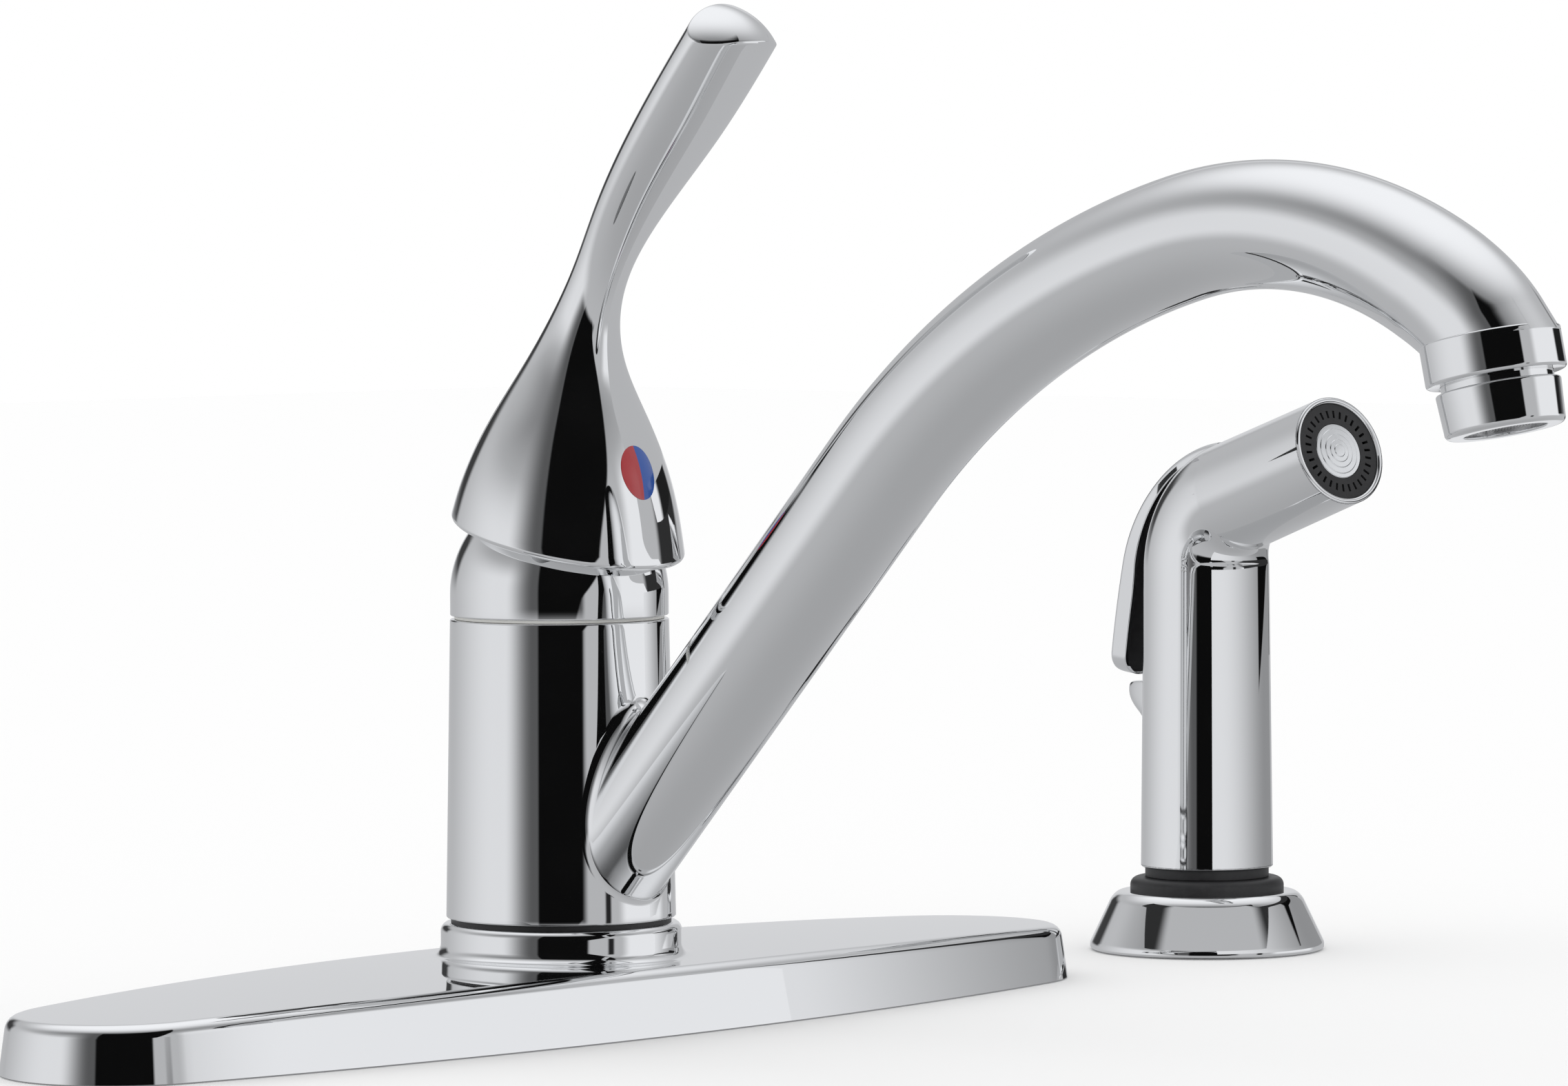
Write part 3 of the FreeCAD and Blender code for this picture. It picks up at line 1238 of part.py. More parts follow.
def tongue(inset):
    """The lever's outline seen from the back, as a prism: wide below, narrowing upward."""
    low = num.trigger_low + max(inset, 0)
    top = back_top.z + num.trigger_thick
    sides = []
    for side in (-1, 1):
        sides.append(Part.Arc(
            Vector(side * (num.trigger_half - inset), 0, low),
            Vector(side * (num.trigger_mid_half - inset), 0, back_mid.z),
            Vector(side * (num.trigger_top_half - inset), 0, top),
        ))
    left, right = sides
    outline = [
        left,
        Part.LineSegment(left.EndPoint, right.EndPoint),
        right,
        Part.LineSegment(right.StartPoint, left.StartPoint),
    ]
    face = Part.Face(Part.Wire(Part.sortEdges([curve.toShape() for curve in outline])[0]))
    face.translate(ALONG_Y * -num.wand_head_reach)
    return face.extrude(ALONG_Y * 2 * num.wand_head_reach)


# Wand shell: bent tube with a rest for the lever's lower end, and room for the lever over its bend.
shell_outer = wand_bar(0.0, 0.0)
shell_inner = wand_bar(num.wand_wall, 1.0)
rest_round = (num.rest_high - num.rest_low) / 2
rest_middle = Vector(0, num.rest_out - rest_round, num.rest_low + rest_round)
rest_block = cross_block(num.rest_half, Vector(0, num.wand_high_radius / 2, num.rest_low),
                         Vector(0, rest_middle.y, num.rest_high))
rest = rest_block.fuse(cross_bar(rest_round, num.rest_half, rest_middle)).removeSplitter()
rest_edges = [edge for edge in rest.Edges
              if edge.BoundBox.XLength < 1e-6 and edge.BoundBox.YMax > num.wand_low_radius]
rest = rest.makeFillet(num.rest_edge, rest_edges)
head_top = elbow + head_way * num.trigger_pin_ahead + head_over * num.wand_head_radius
trigger_pivot = head_top - head_over * num.trigger_pin_drop
pin_bar = cross_bar(num.trigger_pin, num.trigger_pin_half, trigger_pivot)
tab_half = num.trigger_tab / 2
tab_room = cross_bar(num.trigger_eye + num.loose_gap, tab_half + num.fit_gap, trigger_pivot)
lever_depth = num.trigger_thick + num.trigger_room
lever_room = back_plate(-num.trigger_skirt, lever_depth, lever_depth, 0.0, num.trigger_half + num.loose_gap)
lever_room = lever_room.common(tongue(-num.loose_gap))
lever_room = lever_room.fuse(lever_room.translated(head_way * num.loose_gap))
valve_spot = Vector(0, 0, num.valve_height)
valve_door = Part.makeCylinder(num.valve_collar + num.loose_gap, 2 * num.wand_low_radius, valve_spot, ALONG_Y)
shell_shape = shell_outer.fuse(rest).cut([shell_inner, lever_room, tab_room, pin_bar, valve_door])
node("wand_shell", at_holder(solid("WandShell", shell_shape)))
node("trigger_pin", at_holder(solid("TriggerPin", pin_bar)))

# Spray face: a slotted black ring and a stepped silver disc in the head's end.
face_radius = num.wand_face_radius - num.wand_wall - num.run_gap
face_front = num.wand_head_reach - num.slit_wide
face_back = face_front - num.face_depth
face_ring = head_bar(face_radius, face_back, face_front).cut(head_bar(num.face_disc, face_back, face_front))
slits = []
for step in range(int(num.face_slits)):
    slit = Part.makeBox(num.slit_outer - num.slit_inner, num.slit_wide, num.face_depth,
                        Vector(num.slit_inner, -num.slit_wide / 2, 0))
    slit.rotate(Vector(), UPRIGHT, 360.0 * step / num.face_slits)
    slit.Placement = Placement(elbow + head_way * face_back, Rotation(UPRIGHT, head_way)) * slit.Placement
    slits.append(slit)
node("spray_face", at_holder(solid("SprayFace", face_ring.cut(slits))))
disc = head_bar(num.face_disc - num.run_gap, face_back, face_front + num.slit_wide / 2)
node("spray_centre", at_holder(solid("SprayCentre", disc)))

# Water tube inside the wand, and the valve stem that the thumb lever pushes.
tube_up = Part.makeCylinder(num.water_tube, num.wand_elbow - wand_foot, Vector(0, 0, wand_foot))
tube_head = head_bar(num.water_tube, 0.0, face_back)
bore_up = Part.makeCylinder(num.water_bore, num.wand_elbow - wand_foot, Vector(0, 0, wand_foot))
bore_head = head_bar(num.water_bore, 0.0, face_back)
stem_hole = Part.makeCylinder(num.valve_radius + num.run_gap, 2 * num.water_tube, valve_spot, ALONG_Y)
elbow_ball = Part.makeSphere(num.water_tube, elbow)
water_shape = tube_up.fuse([tube_head, elbow_ball]).cut([bore_up, bore_head, stem_hole])
node("water_tube", at_holder(solid("WaterTube", water_shape)))

# Thumb lever: a tapering channel over the back of the bend, with an eye on its pin.
lever_block = back_plate(0.0, num.trigger_skirt, num.trigger_thick, 0.0, num.trigger_half).common(tongue(0.0))


def lower_corner(edge):
    box = edge.BoundBox
    return box.ZMax < num.trigger_low + 1 and box.XLength < 1 and min(abs(box.XMin), abs(box.XMax)) > tab_half


lever_block = lever_block.makeFillet(num.trigger_corner, [edge for edge in lever_block.Edges if lower_corner(edge)])


def on_back(edge):
    first, last = edge.ParameterRange
    depths = []
    for step in range(5):
        point = edge.valueAt(first + (last - first) * step / 4)
        point.x = 0
        straight_part = point.z < back_mid.z
        over = (point - back_low).dot(inward) if straight_part else sweep - (point - sweep_centre).Length
        depths.append(abs(over))
    middle = edge.valueAt((first + last) / 2)
    return max(depths) < 1e-2 and abs(middle.x) > 1 or max(depths) < 1e-2 and middle.z < num.trigger_low + 1


lever_block = lever_block.makeFillet(num.trigger_edge, [edge for edge in lever_block.Edges if on_back(edge)])
hollow = back_plate(num.trigger_thick, num.trigger_skirt + 1, num.trigger_thick + num.fit_gap,
                    num.trigger_wall, num.trigger_half).common(tongue(num.trigger_wall))
web_high = trigger_pivot + ALONG_Y * num.trigger_eye + UPRIGHT * (num.trigger_pin_drop - num.trigger_thick / 2)
eye_web = cross_block(tab_half, trigger_pivot, web_high)
eye_bar = cross_bar(num.trigger_eye, tab_half, trigger_pivot)
pin_hole = cross_bar(num.trigger_pin + num.run_gap, tab_half, trigger_pivot)
lever_shape = lever_block.cut(hollow).fuse([eye_web, eye_bar]).cut(pin_hole)
node("spray_lever", at_holder(solid("SprayLever", lever_shape)))

# Spray valve: a stem with a rounded tip under the thumb lever, a collar, and a return spring.
under_lever = back_low + inward * num.trigger_thick
lever_lean = -back_way.y / back_way.z
valve_tip = under_lever.y - lever_lean * (num.valve_height - under_lever.z) - num.fit_gap - num.run_gap
tip_ball = Vector(0, valve_tip - num.valve_radius, num.valve_height)
stem_bar = Part.makeCylinder(num.valve_radius, tip_ball.y - num.valve_inner,
                             valve_spot + ALONG_Y * num.valve_inner, ALONG_Y)
collar_seat = tip_ball - ALONG_Y * num.valve_collar_thick
collar = Part.makeCylinder(num.valve_collar, num.valve_collar_thick, collar_seat, ALONG_Y)
valve_shape = stem_bar.fuse([Part.makeSphere(num.valve_radius, tip_ball), collar]).removeSplitter()
node("valve_stem", at_holder(solid("ValveStem", valve_shape)))
spring_foot = num.water_tube + num.spring_wire + num.run_gap
spring_length = collar_seat.y - num.spring_wire - num.run_gap - spring_foot
coil = Part.makeHelix(spring_length / num.spring_turns, spring_length, num.spring_radius)
wire_ring = Part.Wire(Part.makeCircle(num.spring_wire, Vector(num.spring_radius, 0, 0), ALONG_Y))
spring = Part.Wire(coil.Edges).makePipeShell([wire_ring], True, True)
spring_seat = Placement(valve_spot + ALONG_Y * spring_foot, Rotation(UPRIGHT, ALONG_Y))
spring = spring.transformed(spring_seat.Matrix, True)
node("valve_spring", at_holder(solid("ValveSpring", spring)))

# Every piece is checked, then written to its own file.
doc.recompute()
for label, thing in nodes.items():
    if "Invalid" in thing.State or "Error" in thing.State:
        raise RuntimeError(f"{label} did not recompute")
    if thing.Shape.isNull() or not thing.Shape.isValid() or not thing.Shape.Solids:
        raise RuntimeError(f"{label} is not a valid solid")
os.makedirs("parts", exist_ok=True)
for label, thing in nodes.items():
    thing.Shape.exportStep(f"parts/{label}.step")
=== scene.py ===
import bmesh
import bpy
import math
import numpy as np
from mathutils import Matrix, Vector


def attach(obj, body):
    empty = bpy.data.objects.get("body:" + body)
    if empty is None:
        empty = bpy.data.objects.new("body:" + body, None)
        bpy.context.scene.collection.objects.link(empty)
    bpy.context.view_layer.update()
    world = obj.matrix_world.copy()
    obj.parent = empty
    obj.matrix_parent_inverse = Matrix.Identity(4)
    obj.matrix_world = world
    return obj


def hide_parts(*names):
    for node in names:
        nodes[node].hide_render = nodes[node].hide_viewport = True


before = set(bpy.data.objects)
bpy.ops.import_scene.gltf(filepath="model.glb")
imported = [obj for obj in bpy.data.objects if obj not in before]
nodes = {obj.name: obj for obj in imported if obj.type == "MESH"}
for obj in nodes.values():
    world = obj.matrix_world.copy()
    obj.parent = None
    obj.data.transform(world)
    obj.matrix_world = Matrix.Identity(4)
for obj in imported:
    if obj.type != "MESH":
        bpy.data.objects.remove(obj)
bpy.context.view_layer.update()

# Under-deck fixings: rolled steel studs, stamped washers and cast brass nuts that pull the deck plate down
# from below the counter. The steel is zinc plated and the brass is left as it comes from the machine.


class Signal:
    """A socket in a node tree. Arithmetic on it adds Math nodes, and node() adds any other kind."""

    def __init__(self, tree, socket=None):
        self.tree = tree
        self.socket = socket

    def node(self, kind, settings=None, output=0, **inputs):
        made = self.tree.nodes.new(kind)
        for name, value in (settings or {}).items():
            setattr(made, name, value)
        for name, value in inputs.items():
            key = int(name[1:]) if name[0] == "_" else name.replace("_", " ")
            if isinstance(value, Signal):
                self.tree.links.new(value.socket, made.inputs[key])
            else:
                made.inputs[key].default_value = value
        return Signal(self.tree, None if output is None else made.outputs[output])

    def maths(self, operation, *values):
        terms = {f"_{place}": value for place, value in enumerate((self, *values))}
        return self.node("ShaderNodeMath", {"operation": operation}, **terms)

    def __add__(self, other):
        return self.maths("ADD", other)

    def __mul__(self, other):
        return self.maths("MULTIPLY", other)

    def __sub__(self, other):
        return self.maths("SUBTRACT", other)

    def __rsub__(self, other):
        return self.maths("MULTIPLY", -1.0).maths("ADD", other)

    __radd__ = __add__
    __rmul__ = __mul__

    def step(self, low, high):
        """Rises smoothly from 0 to 1 between two values."""
        settings = {"interpolation_type": "SMOOTHSTEP"}
        return self.node("ShaderNodeMapRange", settings, Value=self, From_Min=low, From_Max=high)

    def mix(self, first, second):
        """The first colour where this is 0, the second where it is 1."""
        settings = {"data_type": "RGBA", "clamp_factor": True}
        return self.node("ShaderNodeMix", settings, 2, _0=self, _6=first, _7=second)


def new_finish(name, **constants):
    """A material with its Principled shader, whose constant sockets are set at once."""
    material = bpy.data.materials.new(name)
    material.use_nodes = True
    shader = material.node_tree.nodes["Principled BSDF"]
    for socket, value in constants.items():
        shader.inputs[socket.replace("_", " ")].default_value = value
    return material, shader, Signal(material.node_tree)


def feed(shader, **signals):
    """Links signals to the shader's sockets."""
    for socket, signal in signals.items():
        signal.tree.links.new(signal.socket, shader.inputs[socket.replace("_", " ")])


def grain(signals, scale, detail=3.0):
    """A fine noise that stays with the piece."""
    place = signals.node("ShaderNodeTexCoord", None, "Object")
    return signals.node("ShaderNodeTexNoise", None, 0, Vector=place, Scale=scale, Detail=detail)


def mottled(name, scale, dark, light, roughness=None, **constants):
    """A finish whose colour, and roughness if given, drift between two bounds with a fine grain."""
    material, shader, signals = new_finish(name, **constants)
    mottle = grain(signals, scale)
    feed(shader, Base_Color=mottle.mix((*dark, 1), (*light, 1)))
    if roughness:
        smooth, rough = roughness
        feed(shader, Roughness=mottle * (rough - smooth) + smooth)
    return material


def wear(material, *names):
    """Gives CAD nodes their finish."""
    for name in names:
        nodes[name].data.materials.clear()
        nodes[name].data.materials.append(material)


steel = mottled("zinc_steel", 600.0, (0.50, 0.50, 0.51), (0.66, 0.66, 0.67), (0.25, 0.45), Metallic=1.0)
brass = mottled("machined_brass", 400.0, (0.60, 0.42, 0.16), (0.74, 0.56, 0.27), (0.2, 0.4), Metallic=1.0)
wear(steel, "mounting_studs", "mounting_washers")
wear(brass, "mounting_nuts")

# Valve body and its fittings: a turned brass barrel under the spout, with two inlets for the supply lines
# and a threaded outlet for the spray's hose. Black rubber rings seal it, and a sheet of the same rubber lies
# under the plate.
rubber = mottled("black_rubber", 900.0, (0.012, 0.012, 0.012), (0.035, 0.035, 0.035), (0.6, 0.8),
                 Specular_IOR_Level=0.3)
wear(brass, "valve_body", "hot_inlet", "cold_inlet", "spray_outlet")
wear(rubber, "base_gasket", "body_o_rings", "diverter_seal", "cartridge_seals")

# Deck plate: a zinc casting, polished and plated with bright chrome, with a raised collar under the spout.
# The plating is smooth; what varies is only a faint haze from wiping. Sizes are in millimetres.
CHROME_ROUGHNESS = 0.015
HAZE_ROUGHNESS = 0.03
PLATE_HALF = 130.0
PLATE_HALF_WIDE = 32.0
PLATE_END = 21.5
PLATE_HIGH = 12.8
PLATE_LEAN = 8.0
PLATE_ROUND = 2.6
PLATE_WALL = 3.0
PLATE_HOLLOW = 6.8
PLATE_LONG_FALL = 2.9
PLATE_CROSS_FALL = 1.0
COLLAR_RADIUS = 22.2
COLLAR_TOP = 18.6
COLLAR_ROUND = 1.6
COLLAR_FLARE = 2.2
COLLAR_BORE = 16.7
PLATE_COLUMNS = 400
PLATE_ROWS = 25
ROUNDING_STEPS = 6
SLOPE_STEP = 0.1
MILLIMETRE = 0.001
WELD_GAP = 1e-7
CREASE = math.radians(40)
HALVINGS = 48

chrome, shader, signals = new_finish("bright_chrome", Metallic=1.0, Base_Color=(0.88, 0.885, 0.89, 1))
haze = grain(signals, 60.0, 5.0).step(0.35, 0.75)
feed(shader, Roughness=haze * HAZE_ROUGHNESS + CHROME_ROUGHNESS)


def unit(ways):
    return ways / np.linalg.norm(ways, axis=-1, keepdims=True)


def between(first, last, share):
    return first + (last - first) * share


def eased(count):
    """Shares from 0 to 1 that lie closer at both ends."""
    return (1 - np.cos(np.linspace(0, math.pi, count))) / 2


def corner(edge, one_way, other_way, radius):
    """A rounding at an edge, from the side that goes one way to the side that goes the other."""
    one_way, other_way = unit(one_way), unit(other_way)
    middle = unit(one_way + other_way)
    half = np.arccos((one_way * middle).sum(-1, keepdims=True))
    centre = edge + middle * radius / np.sin(half)
    first = edge + one_way * radius / np.tan(half) - centre
    last = edge + other_way * radius / np.tan(half) - centre
    shares = np.linspace(0, 1, ROUNDING_STEPS + 1)
    return [centre + unit(between(first, last, share)) * radius for share in shares]


def solve(measure, low, high):
    """Where a rising measure of an array of values passes zero, between two bounds."""
    for halving in range(HALVINGS):
        middle = (low + high) / 2
        below = measure(middle) < 0
        low, high = np.where(below, middle, low), np.where(below, high, middle)
    return (low + high) / 2


def smooth_mesh(name, grids):
    """A smooth mesh from grids of points in millimetres, each closed round its columns."""
    vertices = []
    faces = []
    for grid in grids:
        rows, columns = grid.shape[:2]
        first = len(vertices)
        vertices.extend(grid.reshape(-1, 3) * MILLIMETRE)
        for row in range(rows - 1):
            low = first + row * columns
            for column in range(columns):
                beside = (column + 1) % columns
                faces.append((low + column, low + beside, low + columns + beside, low + columns + column))
    mesh = bpy.data.meshes.new(name)
    mesh.from_pydata(vertices, [], faces)
    shape = bmesh.new()
    shape.from_mesh(mesh)
    bmesh.ops.remove_doubles(shape, verts=shape.verts, dist=WELD_GAP)
    bmesh.ops.recalc_face_normals(shape, faces=shape.faces)
    if shape.calc_volume(signed=True) < 0:
        bmesh.ops.reverse_faces(shape, faces=shape.faces)
    shape.to_mesh(mesh)
    shape.free()
    mesh.shade_smooth()
    mesh.set_sharp_from_angle(angle=CREASE)
    return mesh


def smooth_piece(name, body, material, grids):
    """A smooth piece of one finish that rides on a body."""
    mesh = smooth_mesh(name, grids)
    mesh.materials.append(material)
    piece = bpy.data.objects.new(name, mesh)
    bpy.context.scene.collection.objects.link(piece)
    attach(piece, body)
    return piece


def polished(name, body, replaced, material, grids):
    """A smooth piece that stands for a CAD node."""
    piece = smooth_piece(name, body, material, grids)
    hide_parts(replaced)
    return piece


# The plate's edge on the deck has a wide arc along each side and a small one round each end.
end_centre = PLATE_HALF - PLATE_END
side_radius = (end_centre ** 2 + PLATE_HALF_WIDE ** 2 - PLATE_END ** 2) / (2 * (PLATE_HALF_WIDE - PLATE_END))
end_angle = math.atan2(side_radius - PLATE_HALF_WIDE, end_centre)
end_length = PLATE_END * end_angle
side_length = side_radius * (math.pi / 2 - end_angle)
plate_turns = np.arange(PLATE_COLUMNS) / PLATE_COLUMNS
along_edge = (end_length + side_length) * (1 - abs(plate_turns * 4 % 2 - 1))
on_end = along_edge < end_length
edge_angles = np.where(on_end, along_edge / PLATE_END, end_angle + (along_edge - end_length) / side_radius)
arc_radius = np.where(on_end, PLATE_END, side_radius)
edge_x = arc_radius * np.cos(edge_angles) + np.where(on_end, end_centre, 0)
edge_y = arc_radius * np.sin(edge_angles) + np.where(on_end, 0, PLATE_HALF_WIDE - side_radius)
signs = np.stack((np.where(abs(plate_turns - 0.5) < 0.25, -1, 1), np.where(plate_turns < 0.5, 1, -1)), -1)
plate_edge = np.stack((edge_x, edge_y), -1) * signs
plate_out = np.stack((np.cos(edge_angles), np.sin(edge_angles)), -1) * signs
wall_lean = math.tan(math.radians(PLATE_LEAN))
long_radius = (PLATE_HALF ** 2 + PLATE_LONG_FALL ** 2) / (2 * PLATE_LONG_FALL)
cross_radius = (PLATE_HALF_WIDE ** 2 + PLATE_CROSS_FALL ** 2) / (2 * PLATE_CROSS_FALL)


def lifted(spots, heights):
    """Points over spots of the deck plane, all at one height or each at its own."""
    return np.column_stack((spots, heights + np.zeros(len(spots))))


def plate_side(heights, inset=0.0):
    """Points of the leaning wall, all at one height or each at its own, moved in by an inset."""
    depths = inset + wall_lean * heights + np.zeros(PLATE_COLUMNS)
    return lifted(plate_edge - plate_out * depths[:, None], heights)


def crown(spots):
    """The plate's top over spots of the deck plane, bent a little both ways."""
    fall = cross_radius - np.sqrt(cross_radius ** 2 - spots[:, 1] ** 2)
    return lifted(spots, PLATE_HIGH - long_radius + np.sqrt((long_radius - fall) ** 2 - spots[:, 0] ** 2))


def over_crown(heights):
    points = plate_side(heights)
    return points[:, 2] - crown(points[:, :2])[:, 2]


plate_foot = plate_side(0.0)
top_edge = plate_side(solve(over_crown, np.zeros(PLATE_COLUMNS), np.full(PLATE_COLUMNS, PLATE_HIGH)))
beside_edge = crown(top_edge[:, :2] - plate_out * SLOPE_STEP)
edge_rows = corner(top_edge, plate_foot - top_edge, beside_edge - top_edge, PLATE_ROUND)
collar_ways = np.stack((np.cos(plate_turns * 2 * math.pi), np.sin(plate_turns * 2 * math.pi)), -1)
collar_foot = crown(collar_ways * COLLAR_RADIUS)
beside_collar = crown(collar_ways * (COLLAR_RADIUS + SLOPE_STEP))
collar_edge = lifted(collar_ways * COLLAR_RADIUS, COLLAR_TOP)
collar_bore = lifted(collar_ways * COLLAR_BORE, COLLAR_TOP)
flare_rows = corner(collar_foot, beside_collar - collar_foot, collar_edge - collar_foot, COLLAR_FLARE)
brim_rows = corner(collar_edge, collar_foot - collar_edge, collar_bore - collar_edge, COLLAR_ROUND)
side_rows = [between(plate_foot, edge_rows[0], share) for share in eased(PLATE_ROWS)[:-1]]
top_first, top_last = edge_rows[-1][:, :2], flare_rows[0][:, :2]
top_rows = [crown(between(top_first, top_last, share)) for share in eased(PLATE_ROWS)[1:-1]]
under_rows = [
    lifted(collar_ways * COLLAR_BORE, PLATE_HOLLOW),
    plate_side(PLATE_HOLLOW, PLATE_WALL),
    plate_side(0.0, PLATE_WALL),
    plate_foot,
]
plate_rows = side_rows + edge_rows + top_rows + flare_rows + brim_rows + [collar_bore] + under_rows
polished("chrome_plate", "base", "deck_plate", chrome, [np.array(plate_rows)])

# Cartridge, diverter and glide rings: moulded plastic pieces inside the body, with two lapped ceramic discs
# that mix the water. A steel stem on a pin shifts the upper disc. The lower ring shows as a dark line.
white = mottled("white_plastic", 300.0, (0.78, 0.78, 0.75), (0.85, 0.85, 0.82), Roughness=0.45)
black = mottled("black_plastic", 700.0, (0.014, 0.014, 0.015), (0.03, 0.03, 0.032), (0.35, 0.5),
                Specular_IOR_Level=0.4)
wear(white, "upper_glide_ring", "cartridge_base", "cartridge_housing", "stem_carrier", "disc_driver")
wear(white, "diverter_piston", "fixed_disc", "moving_disc")
wear(steel, "lever_stem", "pivot_pin", "set_screw")
wear(black, "lower_glide_ring")

# Spout: a cast hub that turns on the valve body, with a bent tube brazed into it and a short end collar.
# It is polished after brazing, so the joint with the hub is a soft hollow, and the collar keeps a crisp
# crease. Each bend of the tube is given as the rise before it, the rise after it and its radius.
HUB_LOW = 19.45
HUB_HIGH = 74.4
HUB_LOW_RADIUS = 21.15
HUB_HIGH_RADIUS = 20.15
HUB_BORE = 17.2
HUB_EDGE = 0.35
TUBE_RADIUS = 10.95
TUBE_SLIM = 0.3
TUBE_BLEND = 2.5
TUBE_ROOT = 17.16
TUBE_RUN = 117.6
TUBE_BENDS = ((46.75, 14.4, 148.0), (14.4, -30.24, 73.5))
TUBE_TAIL_RISE = -52.0
OUTLET_AHEAD = 10.33
OUTLET_DROP = 8.37
OUTLET_LEAN = 12.5
END_RADIUS = 11.8
END_LENGTH = 7.1
END_BORE = 9.5
END_SINK = 1.0
END_HIGH_EDGE = 0.35
END_LOW_EDGE = 0.6
ROUND_COLUMNS = 160
BLEND_ROWS = 9
RUN_ROWS = 40
BEND_ROWS = 33
TAIL_ROWS = 25
TAIL_BOUND = 3.0
LONG_RUN = 1.5
LONG_RUN_STEPS = 12
angles = np.arange(ROUND_COLUMNS) * 2 * math.pi / ROUND_COLUMNS


def outline(*corners, closed=True, long_run=LONG_RUN):
    """An outline from corners of (radius, height, rounding), with closer points at the ends of long runs."""
    bends = []
    for index, (radius, height, rounding) in enumerate(corners):
        here = np.array((radius, height))
        before = np.array(corners[index - 1][:2]) - here
        after = np.array(corners[(index + 1) % len(corners)][:2]) - here
        bends.append(corner(here, before, after, rounding) if rounding else [here])
    points = []
    for bend, beyond in zip(bends, bends[1:] + bends[:1]):
        points += bend[:-1]
        steps = LONG_RUN_STEPS if np.linalg.norm(beyond[0] - bend[-1]) > long_run else 1
        points += [between(bend[-1], beyond[0], share) for share in eased(steps + 1)[:-1]]
    if closed:
        return points + points[:1]
    return points[:len(points) - steps + 1]


def spun(points, columns=ROUND_COLUMNS):
    """Rows of points round the Z axis, one row for each (radius, height)."""
    turns = np.arange(columns) * 2 * math.pi / columns
    return np.array([np.stack((r * np.cos(turns), r * np.sin(turns), z + 0 * turns), -1) for r, z in points])


def moved(grid, place):
    return grid @ np.array(place.to_3x3()).T + np.array(place.translation)


def capped(rows):
    """The rows with a middle point before the first and after the last, which closes both ends."""
    ends = [row.mean(0) + 0 * row for row in (rows[0], rows[-1])]
    return np.array(ends[:1] + rows + ends[1:])


def middle_point(ahead, height):
    """A point of the middle plane."""
    return np.stack((0 * ahead, -ahead, height), -1)


def round_ways(rise):
    """Unit ways round a bar that rises by some angle, in radians, in the middle plane."""
    return np.stack((np.cos(angles), np.sin(angles) * np.sin(rise), np.sin(angles) * np.cos(rise)), -1)


def ring(spot, rise, radius):
    """Points round a bar at a spot of (ahead, height) on its middle line."""
    return middle_point(*spot) + round_ways(rise) * radius


run_rise = math.radians(TUBE_BENDS[0][0])
run_way = np.array((0, -math.cos(run_rise), math.sin(run_rise)))
tube_foot = np.array((0, 0, TUBE_ROOT))
side_ways = round_ways(run_rise)
hub_slope = (HUB_LOW_RADIUS - HUB_HIGH_RADIUS) / (HUB_HIGH - HUB_LOW)


def ball_centres(along):
    """Where a ball that rolls in the joint of hub and tube could have its centre, round the tube."""
    return tube_foot + side_ways * (TUBE_RADIUS + TUBE_BLEND) + along[:, None] * run_way


def clear_of_hub(along):
    centres = ball_centres(along)
    hub_radius = HUB_LOW_RADIUS - hub_slope * (centres[:, 2] - HUB_LOW)
    return np.hypot(centres[:, 0], centres[:, 1]) - hub_radius - TUBE_BLEND


joint_along = solve(clear_of_hub, np.zeros(ROUND_COLUMNS), np.full(ROUND_COLUMNS, TUBE_RUN))
joint_centres = ball_centres(joint_along)
joint_x, joint_y = joint_centres[:, 0], joint_centres[:, 1]
hub_ways = unit(np.stack((joint_x, joint_y, hub_slope * np.hypot(joint_x, joint_y)), -1))
tube_rows = []
for share in np.linspace(0, 1, BLEND_ROWS):
    tube_rows.append(joint_centres - unit(between(hub_ways, side_ways, share)) * TUBE_BLEND)
for share in np.linspace(0, 1, RUN_ROWS)[1:]:
    run_along = between(joint_along, TUBE_RUN, share)
    tube_rows.append(tube_foot + side_ways * TUBE_RADIUS + run_along[:, None] * run_way)
tail_start = np.array((TUBE_RUN * math.cos(run_rise), TUBE_ROOT + TUBE_RUN * math.sin(run_rise)))
for first_rise, last_rise, radius in TUBE_BENDS:
    bend_first, bend_last = math.radians(first_rise), math.radians(last_rise)
    bend_centre = tail_start + radius * np.array((math.sin(bend_first), -math.cos(bend_first)))
    for rise in np.linspace(bend_first, bend_last, BEND_ROWS)[1:]:
        tail_start = bend_centre + radius * np.array((-math.sin(rise), math.cos(rise)))
        tube_rows.append(ring(tail_start, rise, TUBE_RADIUS))
outlet = tail_start + np.array((OUTLET_AHEAD, -OUTLET_DROP))
tail_ways = [np.array((math.cos(rise), math.sin(rise))) for rise in (bend_last, math.radians(TUBE_TAIL_RISE))]
tail_lengths = np.linalg.solve(np.transpose(tail_ways), outlet - tail_start)
tail_knee = tail_start + tail_ways[0] * tail_lengths[0]
outlet_way = np.array((0, -math.sin(math.radians(OUTLET_LEAN)), -math.cos(math.radians(OUTLET_LEAN))))


def tail_points(shares):
    """Points of the tube's tail, one share for each column; past 1 it goes on straight."""
    inside = np.minimum(shares, 1)[:, None]
    spots = tail_start * (1 - inside) ** 2 + tail_knee * 2 * inside * (1 - inside) + outlet * inside ** 2
    spots = spots + 2 * (shares[:, None] - inside) * (outlet - tail_knee)
    ways = between(tail_knee - tail_start, outlet - tail_knee, inside)
    return ring(spots.T, np.arctan2(ways[:, 1], ways[:, 0]), TUBE_RADIUS - TUBE_SLIM * inside)


def sunk(shares):
    return (tail_points(shares) - middle_point(*outlet)) @ outlet_way - END_SINK


